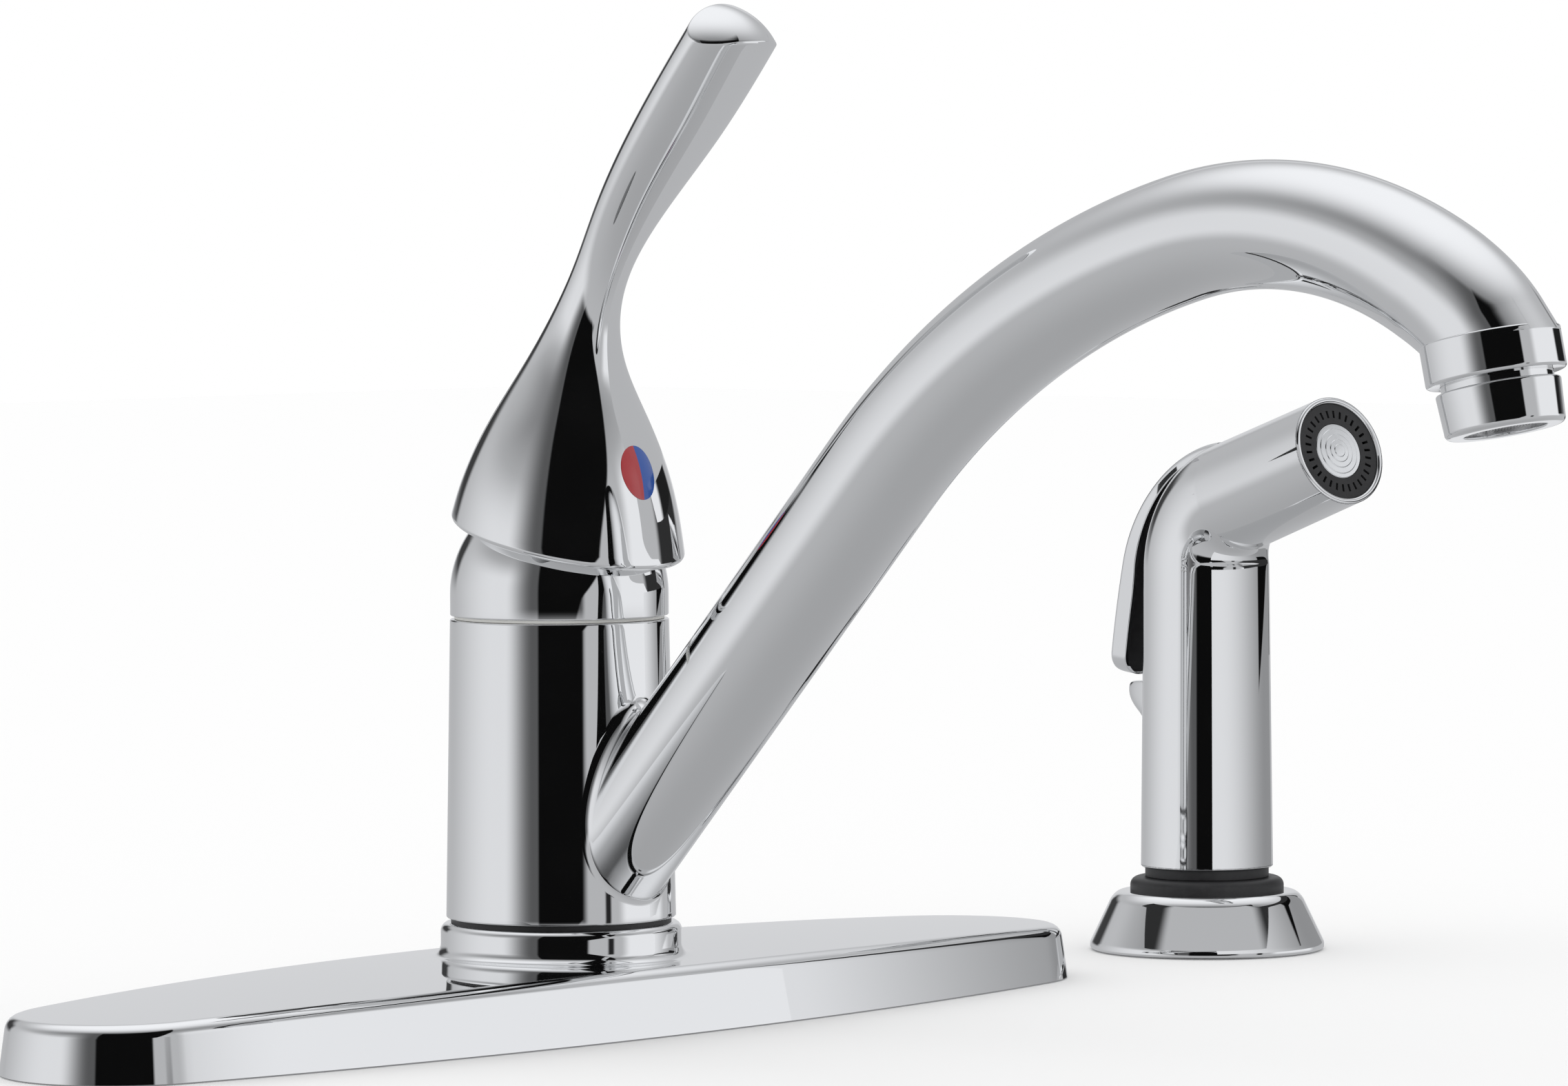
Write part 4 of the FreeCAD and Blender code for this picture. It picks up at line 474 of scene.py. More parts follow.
tail_ends = solve(sunk, np.zeros(ROUND_COLUMNS), np.full(ROUND_COLUMNS, TAIL_BOUND))
for share in np.linspace(0, 1, TAIL_ROWS)[1:]:
    tube_rows.append(tail_points(tail_ends * share))
outlet_turn = Matrix.Rotation(math.radians(-OUTLET_LEAN), 4, "X")
at_outlet = Matrix.Translation(middle_point(*outlet)) @ outlet_turn
hub_rows = spun(outline(
    (HUB_BORE, HUB_LOW, 0),
    (HUB_LOW_RADIUS, HUB_LOW, HUB_EDGE),
    (HUB_HIGH_RADIUS, HUB_HIGH, HUB_EDGE),
    (HUB_BORE, HUB_HIGH, 0),
))
end_collar_rows = spun(outline(
    (END_BORE, 0, 0),
    (END_RADIUS, 0, END_HIGH_EDGE),
    (END_RADIUS, -END_LENGTH, END_LOW_EDGE),
    (END_BORE, -END_LENGTH, 0),
))
spout_grids = [hub_rows, capped(tube_rows), moved(end_collar_rows, at_outlet)]
polished("chrome_spout", "spout", "spout", chrome, spout_grids)

# Aerator: a turned and plated housing screwed into the end collar, which holds a plastic insert, a rubber
# washer and a woven steel screen above its inward lip.
AERATOR_TOP = -8.4
AERATOR_LOW = -16.0
AERATOR_RADIUS = 10.5
AERATOR_FOOT = 10.05
AERATOR_LIP = 1.0
AERATOR_SCREW = 9.45
AERATOR_BORE = 7.95
AERATOR_SEAT = -1.6
AERATOR_TOP_EDGE = 0.4
AERATOR_LOW_EDGE = 1.0
AERATOR_LIP_EDGE = 0.3
aerator_mouth = AERATOR_BORE - AERATOR_LIP
aerator_shelf = AERATOR_LOW + AERATOR_LIP
aerator_rows = spun(outline(
    (AERATOR_BORE, AERATOR_SEAT, 0),
    (AERATOR_SCREW, AERATOR_SEAT, 0),
    (AERATOR_SCREW, AERATOR_TOP, 0),
    (AERATOR_RADIUS, AERATOR_TOP, AERATOR_TOP_EDGE),
    (AERATOR_FOOT, AERATOR_LOW, AERATOR_LOW_EDGE),
    (aerator_mouth, AERATOR_LOW, AERATOR_LIP_EDGE),
    (aerator_mouth, aerator_shelf, 0),
    (AERATOR_BORE, aerator_shelf, 0),
))
polished("chrome_aerator", "spout", "aerator_housing", chrome, [moved(aerator_rows, at_outlet)])
mesh_steel, shader, signals = new_finish("woven_steel", Metallic=1.0, Roughness=0.35)
place = signals.node("ShaderNodeTexCoord", None, "Object")
weave = signals.node("ShaderNodeTexChecker", None, "Fac", Vector=place, Scale=2500.0)
feed(shader, Base_Color=weave.mix((0.10, 0.10, 0.10, 1), (0.60, 0.60, 0.61, 1)))
wear(mesh_steel, "aerator_screen")
wear(white, "aerator_insert")
wear(rubber, "aerator_washer")

# Bonnet: a chromed ring nut that clamps the cartridge; its dome is centred on the lever's pivot, so that
# the handle's skirt swings over it with an even gap.
BONNET_LOW = 75.0
BONNET_RADIUS = 20.1
BONNET_MOUTH = 13.0
BONNET_BORE = 16.65
BONNET_STEP = 81.6
BONNET_EDGE = 0.3
BONNET_ROWS = 24
PIVOT_HEIGHT = 79.0
bonnet_foot = np.array((BONNET_RADIUS, BONNET_LOW))
bonnet_line = corner(bonnet_foot, np.array((-1.0, 0)), np.array((0, 1.0)), BONNET_EDGE)
for angle in np.linspace(0, math.acos(BONNET_MOUTH / BONNET_RADIUS), BONNET_ROWS):
    bonnet_line.append((BONNET_RADIUS * math.cos(angle), PIVOT_HEIGHT + BONNET_RADIUS * math.sin(angle)))
bonnet_line += [(BONNET_MOUTH, BONNET_STEP), (BONNET_BORE, BONNET_STEP), (BONNET_BORE, BONNET_LOW)]
polished("chrome_bonnet", "base", "bonnet", chrome, [spun(bonnet_line + bonnet_line[:1])])

# Handle: one zinc casting, a bell over the bonnet that draws in to a neck and widens into a leaning blade.
# It is polished and chromed all over, and a set screw behind the button holds it on the stem.
# Its level sections, foot to tip: height, how far ahead of the axis, half width, half depth.
HANDLE_FORM = np.array((
    (82.4, 1.1, 22.75, 22.75),
    (99.3, 1.9, 19.4, 19.4),
    (111.0, 2.8, 14.55, 14.55),
    (121.0, 4.3, 9.2, 9.6),
    (129.0, 6.8, 6.3, 6.9),
    (138.0, 11.2, 5.1, 5.8),
    (150.0, 19.3, 6.8, 6.8),
    (162.0, 29.2, 9.1, 7.9),
    (175.0, 40.0, 10.3, 7.7),
    (192.0, 54.0, 10.0, 7.4),
))
RIM_LIFT = 10.3
RIM_TILT = 14.5
RIM_ROUND = 1.0
RIM_BOUND = 110.0
TIP_REACH = 47.5
TIP_HEIGHT = 183.7
TIP_LEAN = 39.7
TIP_DOME = 13.5
TIP_ROUND = 0.8
BELL_HOLLOW = 20.9
BELL_ROWS = 16
BLADE_ROWS = 90
DOME_ROWS = 16
RISE_STEP = 0.05


def tilted(degrees):
    """A unit way in the middle plane, leaning forward from upright."""
    return np.array((0, -math.sin(math.radians(degrees)), math.cos(math.radians(degrees))))


def spline(stations, values):
    """A smooth curve through values at rising stations, as a function, with free ends."""
    gaps = np.diff(stations)
    count = len(stations)
    factors = np.zeros((count, count))
    results = np.zeros((count, values.shape[1]))
    factors[0, 0] = factors[-1, -1] = 1
    for index in range(1, count - 1):
        before, after = gaps[index - 1], gaps[index]
        factors[index, index - 1:index + 2] = before, 2 * (before + after), after
        slopes = np.diff(values[index - 1:index + 2], axis=0) / gaps[index - 1:index + 1, None]
        results[index] = 6 * (slopes[1] - slopes[0])
    bends = np.linalg.solve(factors, results)

    def at(places):
        index = np.clip(np.searchsorted(stations, places) - 1, 0, count - 2)
        gap = gaps[index][:, None]
        ahead = (places - stations[index])[:, None]
        left = gap - ahead
        curve = (bends[index] * left ** 3 + bends[index + 1] * ahead ** 3) / (6 * gap)
        line = (values[index] / gap - bends[index] * gap / 6) * left
        return curve + line + (values[index + 1] / gap - bends[index + 1] * gap / 6) * ahead

    return at


handle_sizes = spline(HANDLE_FORM[:, 0], HANDLE_FORM)
pivot = np.array((0, 0, PIVOT_HEIGHT))
rim_way, tip_way = tilted(RIM_TILT), tilted(TIP_LEAN)
rim_middle = pivot + rim_way * RIM_LIFT
tip_centre = np.array((0, -TIP_REACH, TIP_HEIGHT)) - tip_way * TIP_DOME


def handle_points(heights):
    """Points of the handle's skin, one height for each column."""
    sizes = handle_sizes(heights)
    return np.stack((sizes[:, 2] * np.cos(angles), sizes[:, 3] * np.sin(angles) - sizes[:, 1], heights), -1)


def over_rim(heights):
    return (handle_points(heights) - rim_middle) @ rim_way


def past_tip(heights):
    return np.linalg.norm(handle_points(heights) - tip_centre, axis=-1) - TIP_DOME


form_foot, form_end = np.full(ROUND_COLUMNS, HANDLE_FORM[0, 0]), np.full(ROUND_COLUMNS, HANDLE_FORM[-1, 0])
rim_heights = solve(over_rim, form_foot, np.full(ROUND_COLUMNS, RIM_BOUND))
end_heights = solve(past_tip, np.full(ROUND_COLUMNS, tip_centre[2]), form_end)
rim_edge, end_edge = handle_points(rim_heights), handle_points(end_heights)
rim_inward = unit(rim_middle - rim_edge)
rim_upward = handle_points(rim_heights + RISE_STEP) - rim_edge
rim_rows = corner(rim_edge, rim_inward, rim_upward, RIM_ROUND)
end_downward = handle_points(end_heights - RISE_STEP) - end_edge
end_ways = unit(end_edge - tip_centre)
end_inward = tip_way - end_ways * (end_ways @ tip_way)[:, None]
end_rows = corner(end_edge, end_downward, end_inward, TIP_ROUND)
hollow_reach = math.sqrt(BELL_HOLLOW ** 2 - RIM_LIFT ** 2)
hollow_last = unit(rim_middle - rim_inward * hollow_reach - pivot)
hollow_ways = [unit(between(rim_way, hollow_last, share)) for share in np.linspace(0, 1, BELL_ROWS)]
hollow_rows = [pivot + ways * BELL_HOLLOW for ways in hollow_ways]
skin_first, skin_last = rim_rows[-1][:, 2], end_rows[0][:, 2]
skin_shares = np.linspace(0, 1, BLADE_ROWS)[1:-1]
skin_rows = [handle_points(between(skin_first, skin_last, share)) for share in skin_shares]
dome_first = unit(end_rows[-1] - tip_centre)
dome_ways = [unit(between(dome_first, tip_way, share)) for share in np.linspace(0, 1, DOME_ROWS)[1:]]
dome_rows = [tip_centre + ways * TIP_DOME for ways in dome_ways]
handle_rows = hollow_rows + rim_rows + skin_rows + end_rows + dome_rows
polished("chrome_handle", "handle", "handle", chrome, [np.array(handle_rows)])

# Temperature button: a clear oval dome pressed into the bell's front, over a red half for hot on the left
# and a blue half for cold on the right.
BUTTON_HEIGHT = 101.6
BUTTON_HALF_WIDE = 4.0
BUTTON_HALF_HIGH = 4.9
BUTTON_PROUD = 0.4
BUTTON_EDGE = 0.1
BUTTON_DEEP = 2.5
BUTTON_ROWS = 12
HALF_SEAM = 0.05 * MILLIMETRE
button, shader, signals = new_finish("button_plastic", Roughness=0.25, Coat_Weight=0.6, Coat_Roughness=0.05)
place = signals.node("ShaderNodeTexCoord", None, "Object")
cold_side = signals.node("ShaderNodeSeparateXYZ", None, "X", Vector=place).step(-HALF_SEAM, HALF_SEAM)
feed(shader, Base_Color=cold_side.mix((0.36, 0.03, 0.035, 1), (0.012, 0.07, 0.32, 1)))
button_line = [(0, -BUTTON_DEEP), (1, -BUTTON_DEEP)]
for share in np.linspace(1, 0, BUTTON_ROWS):
    button_line.append((share, BUTTON_EDGE + BUTTON_PROUD * (1 - share ** 2)))
button_rows = []
for share, out in button_line:
    button_x = BUTTON_HALF_WIDE * share * np.cos(angles)
    button_z = BUTTON_HEIGHT + BUTTON_HALF_HIGH * share * np.sin(angles)
    bell_sizes = handle_sizes(button_z)
    bell_front = bell_sizes[:, 1] + bell_sizes[:, 3] * np.sqrt(1 - (button_x / bell_sizes[:, 2]) ** 2)
    button_rows.append(np.stack((button_x, -bell_front - out, button_z), -1))
polished("button_dome", "handle", "indicator_button", button, [np.array(button_rows)])

# Spray holder: a spun and chromed flange on the deck, with a black moulded guide through it that takes the
# wand's neck. A washer and a nut hold it from below.
HOLDER_X = 183.4
HOLDER_TURN = -9.0
HOLDER_RADIUS = 23.49
HOLDER_EDGE = 1.2
HOLDER_TOP_RADIUS = 19.2
HOLDER_SHOULDER = 10.2
HOLDER_TOP = 11.6
HOLDER_WALL = 2.4
HOLDER_BORE = 12.1
HOLDER_FOOT_ROUND = 0.5
HOLDER_EDGE_ROUND = 2.0
HOLDER_SHOULDER_ROUND = 4.0
HOLDER_TOP_ROUND = 2.4
at_holder = Matrix.Translation((HOLDER_X, 0, 0)) @ Matrix.Rotation(math.radians(HOLDER_TURN), 4, "Z")
flange_rows = spun(outline(
    (HOLDER_BORE, HOLDER_TOP - HOLDER_WALL, 0),
    (HOLDER_TOP_RADIUS - HOLDER_WALL, HOLDER_TOP - HOLDER_WALL, 0),
    (HOLDER_RADIUS - HOLDER_WALL, 0, 0),
    (HOLDER_RADIUS, 0, HOLDER_FOOT_ROUND),
    (HOLDER_RADIUS, HOLDER_EDGE, HOLDER_EDGE_ROUND),
    (HOLDER_TOP_RADIUS, HOLDER_SHOULDER, HOLDER_SHOULDER_ROUND),
    (HOLDER_TOP_RADIUS - HOLDER_TOP + HOLDER_SHOULDER, HOLDER_TOP, HOLDER_TOP_ROUND),
    (HOLDER_BORE, HOLDER_TOP, 0),
))
polished("chrome_flange", "base", "spray_flange", chrome, [moved(flange_rows, at_holder)])
wear(rubber, "spray_washer")
wear(black, "spray_guide", "spray_nut")

# Spray wand: a plastic shell plated with chrome, a straight grip that bends into a short head, on a black
# neck with a brass hose fitting. A cut over the bend leaves room for the thumb lever, and a round door lets
# the valve's stem through.
WAND_FOOT = 16.3
WAND_ELBOW = 87.8
WAND_BEND = 14.5
WAND_RISE = 18.0
WAND_REACH = 42.4
WAND_LOW_RADIUS = 13.25
WAND_HIGH_RADIUS = 12.6
WAND_HEAD_RADIUS = 11.2
WAND_FACE_RADIUS = 10.9
WAND_WALL = 1.2
WAND_ROWS = 21
WAND_BEND_ROWS = 41
FACE_ROUND = 0.5
FOOT_ROUND = 0.6
TRIGGER_LOW = 55.0
TRIGGER_OUT = 20.2
TRIGGER_MID_OUT = 17.8
TRIGGER_HALF = 9.0
TRIGGER_MID_HALF = 7.5
TRIGGER_TOP_HALF = 2.6
TRIGGER_THICK = 2.2
TRIGGER_SKIRT = 3.0
TRIGGER_ROOM = 1.9
LOOSE_GAP = 0.4
ROOM_FOOT_ROWS = 12
ROOM_BEND_ROWS = 25
DOOR_HEIGHT = 75.2
DOOR_RADIUS = 3.6
DOOR_COLUMNS = 48
CUT_CREASE = math.radians(30)
upright = math.pi / 2
head_rise = math.radians(WAND_RISE)
run_in = WAND_BEND * math.tan((upright - head_rise) / 2)
bend_height = WAND_ELBOW - run_in
head_start = np.array((WAND_BEND * (1 - math.sin(head_rise)), bend_height + WAND_BEND * math.cos(head_rise)))
head_end = head_start + np.array((math.cos(head_rise), math.sin(head_rise))) * (WAND_REACH - run_in)


def wand_rows(inset, foot_shares, head_shares):
    """Rows of the wand's skin, or of its inside by an inset, foot first."""
    rows = []
    for share in foot_shares:
        radius = between(WAND_LOW_RADIUS, WAND_HIGH_RADIUS, share)
        rows.append(ring((0.0, between(WAND_FOOT, bend_height, share)), upright, radius - inset))
    for share in np.linspace(0, 1, WAND_BEND_ROWS)[1:]:
        rise = between(upright, head_rise, share)
        spot = WAND_BEND * (1 - math.sin(rise)), bend_height + WAND_BEND * math.cos(rise)
        rows.append(ring(spot, rise, between(WAND_HIGH_RADIUS, WAND_HEAD_RADIUS, share) - inset))
    for share in head_shares:
        radius = between(WAND_HEAD_RADIUS, WAND_FACE_RADIUS, share)
        rows.append(ring(between(head_start, head_end, share), head_rise, radius - inset))
    return rows


outer_rows = wand_rows(0.0, eased(WAND_ROWS)[1:-1], eased(WAND_ROWS)[1:-1])
inner_rows = wand_rows(WAND_WALL, (0.0, 0.5, 1.0), (0.5, 0.9))
face_edge = ring(head_end, head_rise, WAND_FACE_RADIUS)
face_inner = ring(head_end, head_rise, WAND_FACE_RADIUS - WAND_WALL)
foot_edge = ring((0.0, WAND_FOOT), upright, WAND_LOW_RADIUS)
foot_rows = corner(foot_edge, inner_rows[0] - foot_edge, outer_rows[0] - foot_edge, FOOT_ROUND)
face_rows = corner(face_edge, outer_rows[-1] - face_edge, face_inner - face_edge, FACE_ROUND)
face_rows += corner(face_inner, face_edge - face_inner, inner_rows[-1] - face_inner, FACE_ROUND)
shell_rows = inner_rows[:1] + foot_rows + outer_rows + face_rows + inner_rows[::-1]
shell = polished("chrome_wand", "spray_wand", "wand_shell", chrome, [moved(np.array(shell_rows), at_holder)])

# The lever's back, seen from the side, is straight below and sweeps over the bend in one arc.
head_upward = np.array((math.sin(head_rise), math.cos(head_rise)))
back_low = np.array((TRIGGER_OUT, TRIGGER_LOW))
back_mid = np.array((TRIGGER_MID_OUT, bend_height))
back_top = np.array((-WAND_BEND, bend_height)) + (WAND_BEND + WAND_HEAD_RADIUS) * head_upward
back_way = unit(back_mid - back_low)
back_inward = np.array((-back_way[1], back_way[0]))
chord = back_top - back_mid
sweep = chord @ chord / (2 * chord @ back_inward)
sweep_centre = back_mid + back_inward * sweep
sweep_first = math.atan2(*(back_mid - sweep_centre)[::-1])
sweep_last = math.atan2(*(back_top - sweep_centre)[::-1])


def back_line(share):
    """A spot on the lever's back and the way into the wand there; below 0 it is straight, up to 1 the arc."""
    if share < 0:
        return between(back_mid, back_low, -share), back_inward
    angle = between(sweep_first, sweep_last, share)
    out = np.array((math.cos(angle), math.sin(angle)))
    return sweep_centre + out * sweep, -out


def tongue_half(share):
    """Half the lever's width, on the circle through its widths at three heights."""
    height = back_line(share)[0][1]
    top_height = back_top[1] + TRIGGER_THICK
    widths = (TRIGGER_HALF, TRIGGER_LOW), (TRIGGER_MID_HALF, bend_height), (TRIGGER_TOP_HALF, top_height)
    spots = np.array(widths)
    factors = np.column_stack((2 * spots, np.ones(3)))
    centre_x, centre_z, offset = np.linalg.solve(factors, (spots ** 2).sum(1))
    radius_squared = offset + centre_x ** 2 + centre_z ** 2
    side = 1 if centre_x < TRIGGER_MID_HALF else -1
    return centre_x + side * math.sqrt(radius_squared - (height - centre_z) ** 2)


def across_back(share, section):
    """Points of a section of (sideways, depth) across the lever's back line."""
    spot, way = back_line(share)
    return np.array([(x, *(spot + way * depth)) for x, depth in section])


room_rows = []
room_top, room_floor = -TRIGGER_SKIRT, TRIGGER_THICK + TRIGGER_ROOM
room_end = 1 + LOOSE_GAP / (sweep * (sweep_last - sweep_first))
room_shares = np.linspace(-1, 0, ROOM_FOOT_ROWS), np.linspace(0, room_end, ROOM_BEND_ROWS)[1:]
for share in np.concatenate(room_shares):
    half = tongue_half(share) + LOOSE_GAP
    room_section = (-half, room_top), (half, room_top), (half, room_floor), (-half, room_floor)
    room_rows.append(across_back(share, room_section))
to_back = Matrix.Translation((0, 0, DOOR_HEIGHT)) @ Matrix.Rotation(math.radians(-90), 4, "X")
door_rows = moved(spun([(DOOR_RADIUS, 0), (DOOR_RADIUS, 2 * WAND_LOW_RADIUS)], DOOR_COLUMNS), to_back)
for rows in (room_rows, list(door_rows)):
    cutter = bpy.data.objects.new("cutter", smooth_mesh("cutter", [moved(capped(rows), at_holder)]))
    bpy.context.scene.collection.objects.link(cutter)
    cut = shell.modifiers.new("cut", "BOOLEAN")
    cut.object = cutter
    cut.operation = "DIFFERENCE"
    cut.solver = "MANIFOLD"
    bpy.context.view_layer.update()
    cut_shell = shell.evaluated_get(bpy.context.evaluated_depsgraph_get())
    shell.data = bpy.data.meshes.new_from_object(cut_shell)
    shell.modifiers.clear()
    bpy.data.objects.remove(cutter)
shell.data.set_sharp_from_angle(angle=CUT_CREASE)
wear(black, "wand_neck", "water_tube")
wear(brass, "hose_fitting")

# Rest: a rounded bump on the wand's back, moulded with the shell and plated with it, that runs out into the
# grip below and stops the lever's lower end. Its side view is a line of (out from the axis, height).
REST_LINE = np.array((
    (12.0, 43.5),
    (13.3, 45.8),
    (16.2, 48.0),
    (18.0, 50.0),
    (18.3, 51.7),
    (17.0, 53.0),
    (12.0, 53.1),
))
REST_HALF = 6.9
REST_SINK = 1.5
REST_FULLNESS = 8
REST_ROWS = 33
rest_curve = spline(np.linspace(0, 1, len(REST_LINE)), REST_LINE)
rest_line = rest_curve(np.linspace(0, 1, REST_ROWS))
rest_rows = []
for share in np.sin(np.linspace(-math.pi / 2, math.pi / 2, REST_ROWS)):
    swell = math.sqrt(1 - abs(share) ** REST_FULLNESS)
    rest_x = REST_HALF * share
    root = math.sqrt(WAND_HIGH_RADIUS ** 2 - rest_x ** 2) - REST_SINK
    rest_rows.append(np.array([(rest_x, between(root, out, swell), height) for out, height in rest_line]))
rest = smooth_piece("lever_rest", "spray_wand", chrome, [moved(capped(rest_rows), at_holder)])

# Thumb lever: a chromed plastic strip over the back of the bend, wide below and narrow at the head's top,
# which turns on a steel pin and pushes the valve's stem against a small spring. Its underside is lined with
# black. The unplated plastic there is dark, and the black sheet also stands in for the shade in the channel
# under the lever, as painted shade.
TRIGGER_EDGE = 1.2
TRIGGER_CORNER = 4.0
SIDE_DEPTH = 5.0
SIDE_EDGE = 0.2
SIDE_DEEP = -0.35
SIDE_SHALLOW = 0.75
LINING_INSET = 0.9
LINING_DEPTH = 0.6
LINING_SINK = 0.1
CORNER_ROWS = 16
STRAIGHT_ROWS = 20
SWEEP_ROWS = 40
trigger_rows = []
shade_lining_rows = []
straight_length = np.linalg.norm(back_mid - back_low)
corner_stations = TRIGGER_CORNER * (1 - np.cos(np.linspace(0, math.pi / 2, CORNER_ROWS)))
straight_stations = np.linspace(TRIGGER_CORNER, straight_length, STRAIGHT_ROWS)[1:]
foot_shares = np.concatenate((corner_stations, straight_stations)) / straight_length - 1
hollow_floor, shade_lining_floor = TRIGGER_THICK - LINING_DEPTH, TRIGGER_THICK - LINING_SINK


def rounding_drop(radius, station):
    """How far a rounded corner falls short of its edge, at a distance from the lever's lower end."""
    return radius - math.sqrt(radius ** 2 - max(radius - station, 0) ** 2)


for share in np.concatenate((foot_shares, np.linspace(0, 1, SWEEP_ROWS)[1:])):
    station = (share + 1) * straight_length
    half = tongue_half(share) - rounding_drop(TRIGGER_CORNER, station)
    top = rounding_drop(TRIGGER_EDGE, station)
    ease = np.clip((SIDE_SHALLOW - share) / (SIDE_SHALLOW - SIDE_DEEP), 0, 1)
    side_foot = between(TRIGGER_THICK, SIDE_DEPTH, ease * ease * (3 - 2 * ease))
    inner = half - LINING_INSET
    # Every run counts as long here, so that all the rows have as many points.
    strip_section = outline(
        (-half, side_foot, SIDE_EDGE),
        (-half, top, TRIGGER_EDGE),
        (half, top, TRIGGER_EDGE),
        (half, side_foot, SIDE_EDGE),
        (inner, side_foot, 0),
        (inner, hollow_floor, 0),
        (-inner, hollow_floor, 0),
        (-inner, side_foot, 0),
        long_run=0,
    )
    trigger_rows.append(across_back(share, strip_section[:-1]))
    shade_lining_section = [(-inner, hollow_floor), (inner, hollow_floor)]
    shade_lining_section += [(inner, shade_lining_floor), (-inner, shade_lining_floor)]
    shade_lining_rows.append(across_back(share, shade_lining_section))
polished("chrome_trigger", "spray_lever", "spray_lever", chrome, [moved(capped(trigger_rows), at_holder)])
# The black lining is a sheet of painted shade under the lever, laid over plastic that is dark where it is
# unplated.
shade_lining = smooth_piece("lever_shade_lining", "spray_lever", black, [moved(capped(shade_lining_rows), at_holder)])
wear(steel, "trigger_pin", "valve_spring")
wear(white, "valve_stem")

# Spray face: a black moulded ring with short slits round a silver disc, turned with fine steps, which closes
# the head's end inside a thin chromed rim.
DISC_RADIUS = 5.55
DISC_BACK = 38.9
DISC_FRONT = 42.15
DISC_EDGE = 0.2
DISC_STEPS = (4.5, 3.3, 2.2, 1.2)
STEP_RISE = 0.12
STEP_ROUND = 0.08
silver = mottled("silver_plastic", 900.0, (0.76, 0.77, 0.78), (0.86, 0.87, 0.88), (0.12, 0.18), Metallic=1.0)
step_low = DISC_FRONT - DISC_EDGE
disc_line = [(0, DISC_BACK, 0), (DISC_RADIUS, DISC_BACK, 0), (DISC_RADIUS, step_low, DISC_EDGE)]
for radius in DISC_STEPS:
    disc_line += [(radius + STEP_RISE, step_low, STEP_ROUND), (radius, step_low + STEP_RISE, STEP_ROUND)]
    step_low += STEP_RISE
disc_rows = spun(outline(*disc_line, (0, step_low, 0), closed=False))
on_head = Matrix.Translation((0, 0, WAND_ELBOW)) @ Matrix.Rotation(math.radians(90 - WAND_RISE), 4, "X")
polished("silver_disc", "spray_wand", "spray_centre", silver, [moved(disc_rows, at_holder @ on_head)])
wear(black, "spray_face")

# Camera: it stands about a metre and a half away, left of the front and level with the spout's top, with a
# long lens. Its place is in metres and its turn, pitch and roll are in degrees.
CAMERA_PLACE = (-1.0397, -1.0397, 0.158)
CAMERA_TURN = -46.611
CAMERA_PITCH = -2.726
CAMERA_ROLL = -0.26
scene = bpy.context.scene
camera = bpy.data.objects.new("camera", bpy.data.cameras.new("camera"))
scene.collection.objects.link(camera)
camera.data.sensor_width = 36.0
camera.data.lens = 183.81
camera.data.clip_start = 0.05
camera_turn = Matrix.Rotation(math.radians(CAMERA_TURN), 4, "Z")
camera_pitch = Matrix.Rotation(math.radians(90 + CAMERA_PITCH), 4, "X")
camera_roll = Matrix.Rotation(math.radians(CAMERA_ROLL), 4, "Z")
camera_stand = Matrix.Translation(CAMERA_PLACE) @ camera_turn @ camera_pitch @ camera_roll
camera.matrix_world = camera_stand
scene.camera = camera
scene.view_settings.view_transform = "Standard"

# Studio: a white table that takes the shadow, in a white room. Polished metal mirrors a room of pale and dark
# fields instead, whose dark gap behind the camera gives the metal its bands, and two bent cards by the spray.
# Places in the room are in degrees right of the camera and degrees up, and cards are measured in metres.
TABLE_SIZE = 6.0
TABLE_DROP = 0.0003
BLACK = 0.004
COOL_WHITE = (0.985, 0.995, 1.02)
PLAIN_LIGHT = (1.1, 1.1, 1.1, 1)
WHITE = (1, 1, 1, 1)
SLANT = 0.9
CEILING_LEAN = 0.42
CEILING_LIFT = 0.91
CARD_CENTRE = HOLDER_X * MILLIMETRE
SIDE_CARD_REACH = 0.12
SIDE_CARD_LOW = 0.004
SIDE_CARD_HIGH = 0.078
SIDE_CARD_STEPS = 40
SHADE_SLANT = 1250
FRONT_CARD_REACH = 0.16
FRONT_CARD_STEPS = 60
bpy.ops.mesh.primitive_plane_add(size=TABLE_SIZE, location=(0, 0, -TABLE_DROP))
table_top = bpy.context.object
table_top.name = "table_top"
paper = new_finish("white_paper", Base_Color=(0.9, 0.9, 0.9, 1), Roughness=0.9, Specular_IOR_Level=0.0)[0]
table_top.data.materials.append(paper)
table_top.visible_glossy = False
for name in ("mounting_studs", "mounting_washers", "mounting_nuts", "hot_inlet", "cold_inlet", "spray_outlet",
             "valve_body", "hose_fitting", "spray_washer", "spray_nut"):
    nodes[name].visible_glossy = False

room = bpy.data.worlds.new("studio")
scene.world = room
room.use_nodes = True
room.node_tree.nodes.clear()
signals = Signal(room.node_tree)
way = signals.node("ShaderNodeTexCoord", None, "Generated")
rightward = Vector((camera_stand[0][0], camera_stand[1][0], 0)).normalized()
toward = Vector((camera_stand[0][2], camera_stand[1][2], 0)).normalized()


def dotted(way, other):
    """How far a way goes along another one."""
    return way.node("ShaderNodeVectorMath", {"operation": "DOT_PRODUCT"}, "Value", _0=way, _1=other)


def in_degrees(angle):
    return angle * (180 / math.pi)


def height_of(place):
    return place.node("ShaderNodeSeparateXYZ", None, "Z", Vector=place)


turn = in_degrees(dotted(way, rightward).maths("ARCTAN2", dotted(way, toward)))
rise = in_degrees(height_of(way).maths("ARCSINE"))


def window(left, right, low, high, soft):
    """1 inside a rectangle of the room, with a soft edge."""
    wide = turn.step(left - soft, left + soft) * (1 - turn.step(right - soft, right + soft))
    tall = rise.step(low - soft, low + soft) * (1 - rise.step(high - soft, high + soft))
    return wide * tall


def grey(light):
    """A faintly cool grey."""
    return (*(light * part for part in COOL_WHITE), 1)


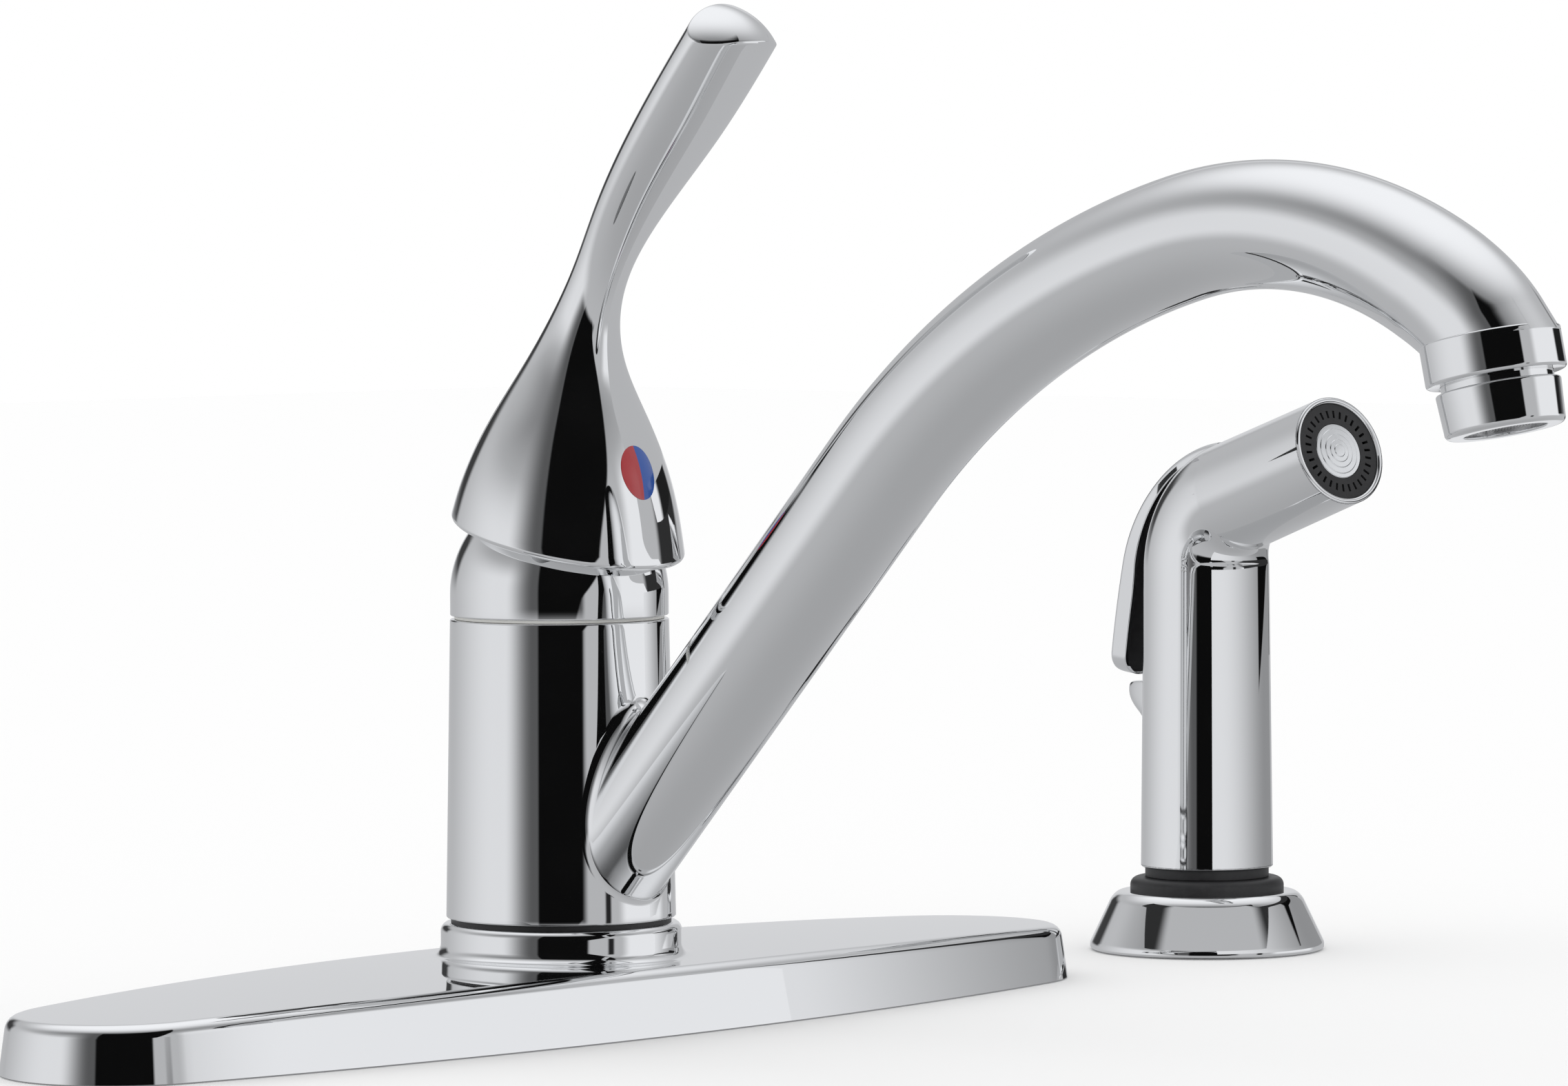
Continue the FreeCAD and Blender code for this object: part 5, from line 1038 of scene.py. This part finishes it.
ceiling_way = (-CEILING_LEAN * toward.x, -CEILING_LEAN * toward.y, CEILING_LIFT)
ceiling = dotted(way, ceiling_way).step(0.45, 1.0).mix(grey(0.2), grey(1.0))
floor_light = rise.step(-75.0, -12.0).mix(grey(0.4), grey(0.5))
room_light = rise.step(20.0, 52.0).mix(floor_light, ceiling)
left_wide = turn.step(-150.0, -72.0) * (1 - turn.step(-58.0, -24.0))
left_tall = rise.step(-22.0, -5.0) * (1 - rise.step(13.0, 30.0))
room_light = (left_wide * left_tall).mix(room_light, grey(0.8))
right_window = window(left=66, right=122, low=-9, high=26, soft=6)
room_light = right_window.mix(room_light, grey(0.88))
left_corner = window(left=-166, right=-140, low=2, high=18, soft=5)
room_light = left_corner.mix(room_light, grey(0.05))
right_corner = window(left=120, right=150, low=2, high=19, soft=3)
room_light = right_corner.mix(room_light, grey(0.015))
rear_wall = turn.maths("ABSOLUTE").step(160.0, 172.0) * window(left=-200, right=200, low=-4, high=25, soft=4)
room_light = rear_wall.mix(room_light, grey(0.68))
dusk = turn.step(-58.0, -26.0) * window(left=-60, right=27, low=-8, high=54, soft=3)
room_light = dusk.mix(room_light, grey(0.1))
gap_wide = turn.step(-22.5, -19.5) * (1 - (turn - rise * SLANT).step(25.5, 28.5))
gap_tall = rise.step(-12.0, -6.0) * (1 - rise.step(50.0, 58.0))
room_light = (gap_wide * gap_tall).mix(room_light, grey(BLACK))
dark_post = window(left=47, right=53, low=-9, high=8, soft=1.5)
room_light = dark_post.mix(room_light, grey(0.02))
mirrored = signals.node("ShaderNodeLightPath", None, "Is Glossy Ray")
seen = signals.node("ShaderNodeLightPath", None, "Is Camera Ray")
colour = seen.mix(mirrored.mix(PLAIN_LIGHT, room_light), WHITE)
background = signals.node("ShaderNodeBackground", None, 0, Color=colour, Strength=1.0)
signals.node("ShaderNodeOutputWorld", None, None, Surface=background)


def card(name, reach, degrees, low, high):
    """A bent sheet round the wand's axis, between a low and a high edge, that only polished metal sees.

    Gives its shader, with signals for the degrees and the height of each spot.
    """
    spots = []
    for heights in (low, high):
        for turned, height in zip(np.radians(degrees), heights):
            outward = rightward * math.sin(turned) + toward * math.cos(turned)
            spots.append(Vector((CARD_CENTRE, 0, height)) + outward * reach)
    count = len(degrees)
    faces = [(step, step + 1, count + step + 1, count + step) for step in range(count - 1)]
    mesh = bpy.data.meshes.new(name)
    mesh.from_pydata(spots, [], faces)
    sheet = bpy.data.objects.new(name, mesh)
    scene.collection.objects.link(sheet)
    sheet.visible_camera = False
    sheet.visible_diffuse = False
    sheet.visible_shadow = False
    constants = {"Base_Color": (0, 0, 0, 1), "Specular_IOR_Level": 0.0, "Emission_Strength": 1.0}
    glow, shader, signals = new_finish(name + "_glow", **constants)
    mesh.materials.append(glow)
    place = signals.node("ShaderNodeTexCoord", None, "Object")
    sideways = dotted(place, rightward) - CARD_CENTRE * rightward.x
    nearness = dotted(place, toward) - CARD_CENTRE * toward.x
    return shader, in_degrees(sideways.maths("ARCTAN2", nearness)), height_of(place)


side_degrees = np.linspace(6.0, 145.0, SIDE_CARD_STEPS)
side_low, side_high = np.full(SIDE_CARD_STEPS, SIDE_CARD_LOW), np.full(SIDE_CARD_STEPS, SIDE_CARD_HIGH)
shader, bearing, height = card("side_card", SIDE_CARD_REACH, side_degrees, side_low, side_high)
side_light = bearing.step(20.0, 120.0).mix(grey(0.8), grey(0.3))
side_shade = bearing.step(99.0, 102.0) * (height * SHADE_SLANT - bearing).step(-44.5, -41.5)
feed(shader, Emission_Color=side_shade.mix(side_light, grey(BLACK)))

front_degrees = np.linspace(-92.0, 150.0, FRONT_CARD_STEPS)
front_low = np.interp(front_degrees, (56.0, 66.0, 100.0), (0.105, 0.08, 0.05))
front_high = np.interp(front_degrees, (56.0, 66.0), (0.19, 0.13))
shader, bearing = card("front_card", FRONT_CARD_REACH, front_degrees, front_low, front_high)[:2]
front_light = bearing.step(-62.0, -48.0) * (1 - bearing.step(54.0, 70.0))
feed(shader, Emission_Color=front_light.mix(grey(0.03), grey(0.5)))
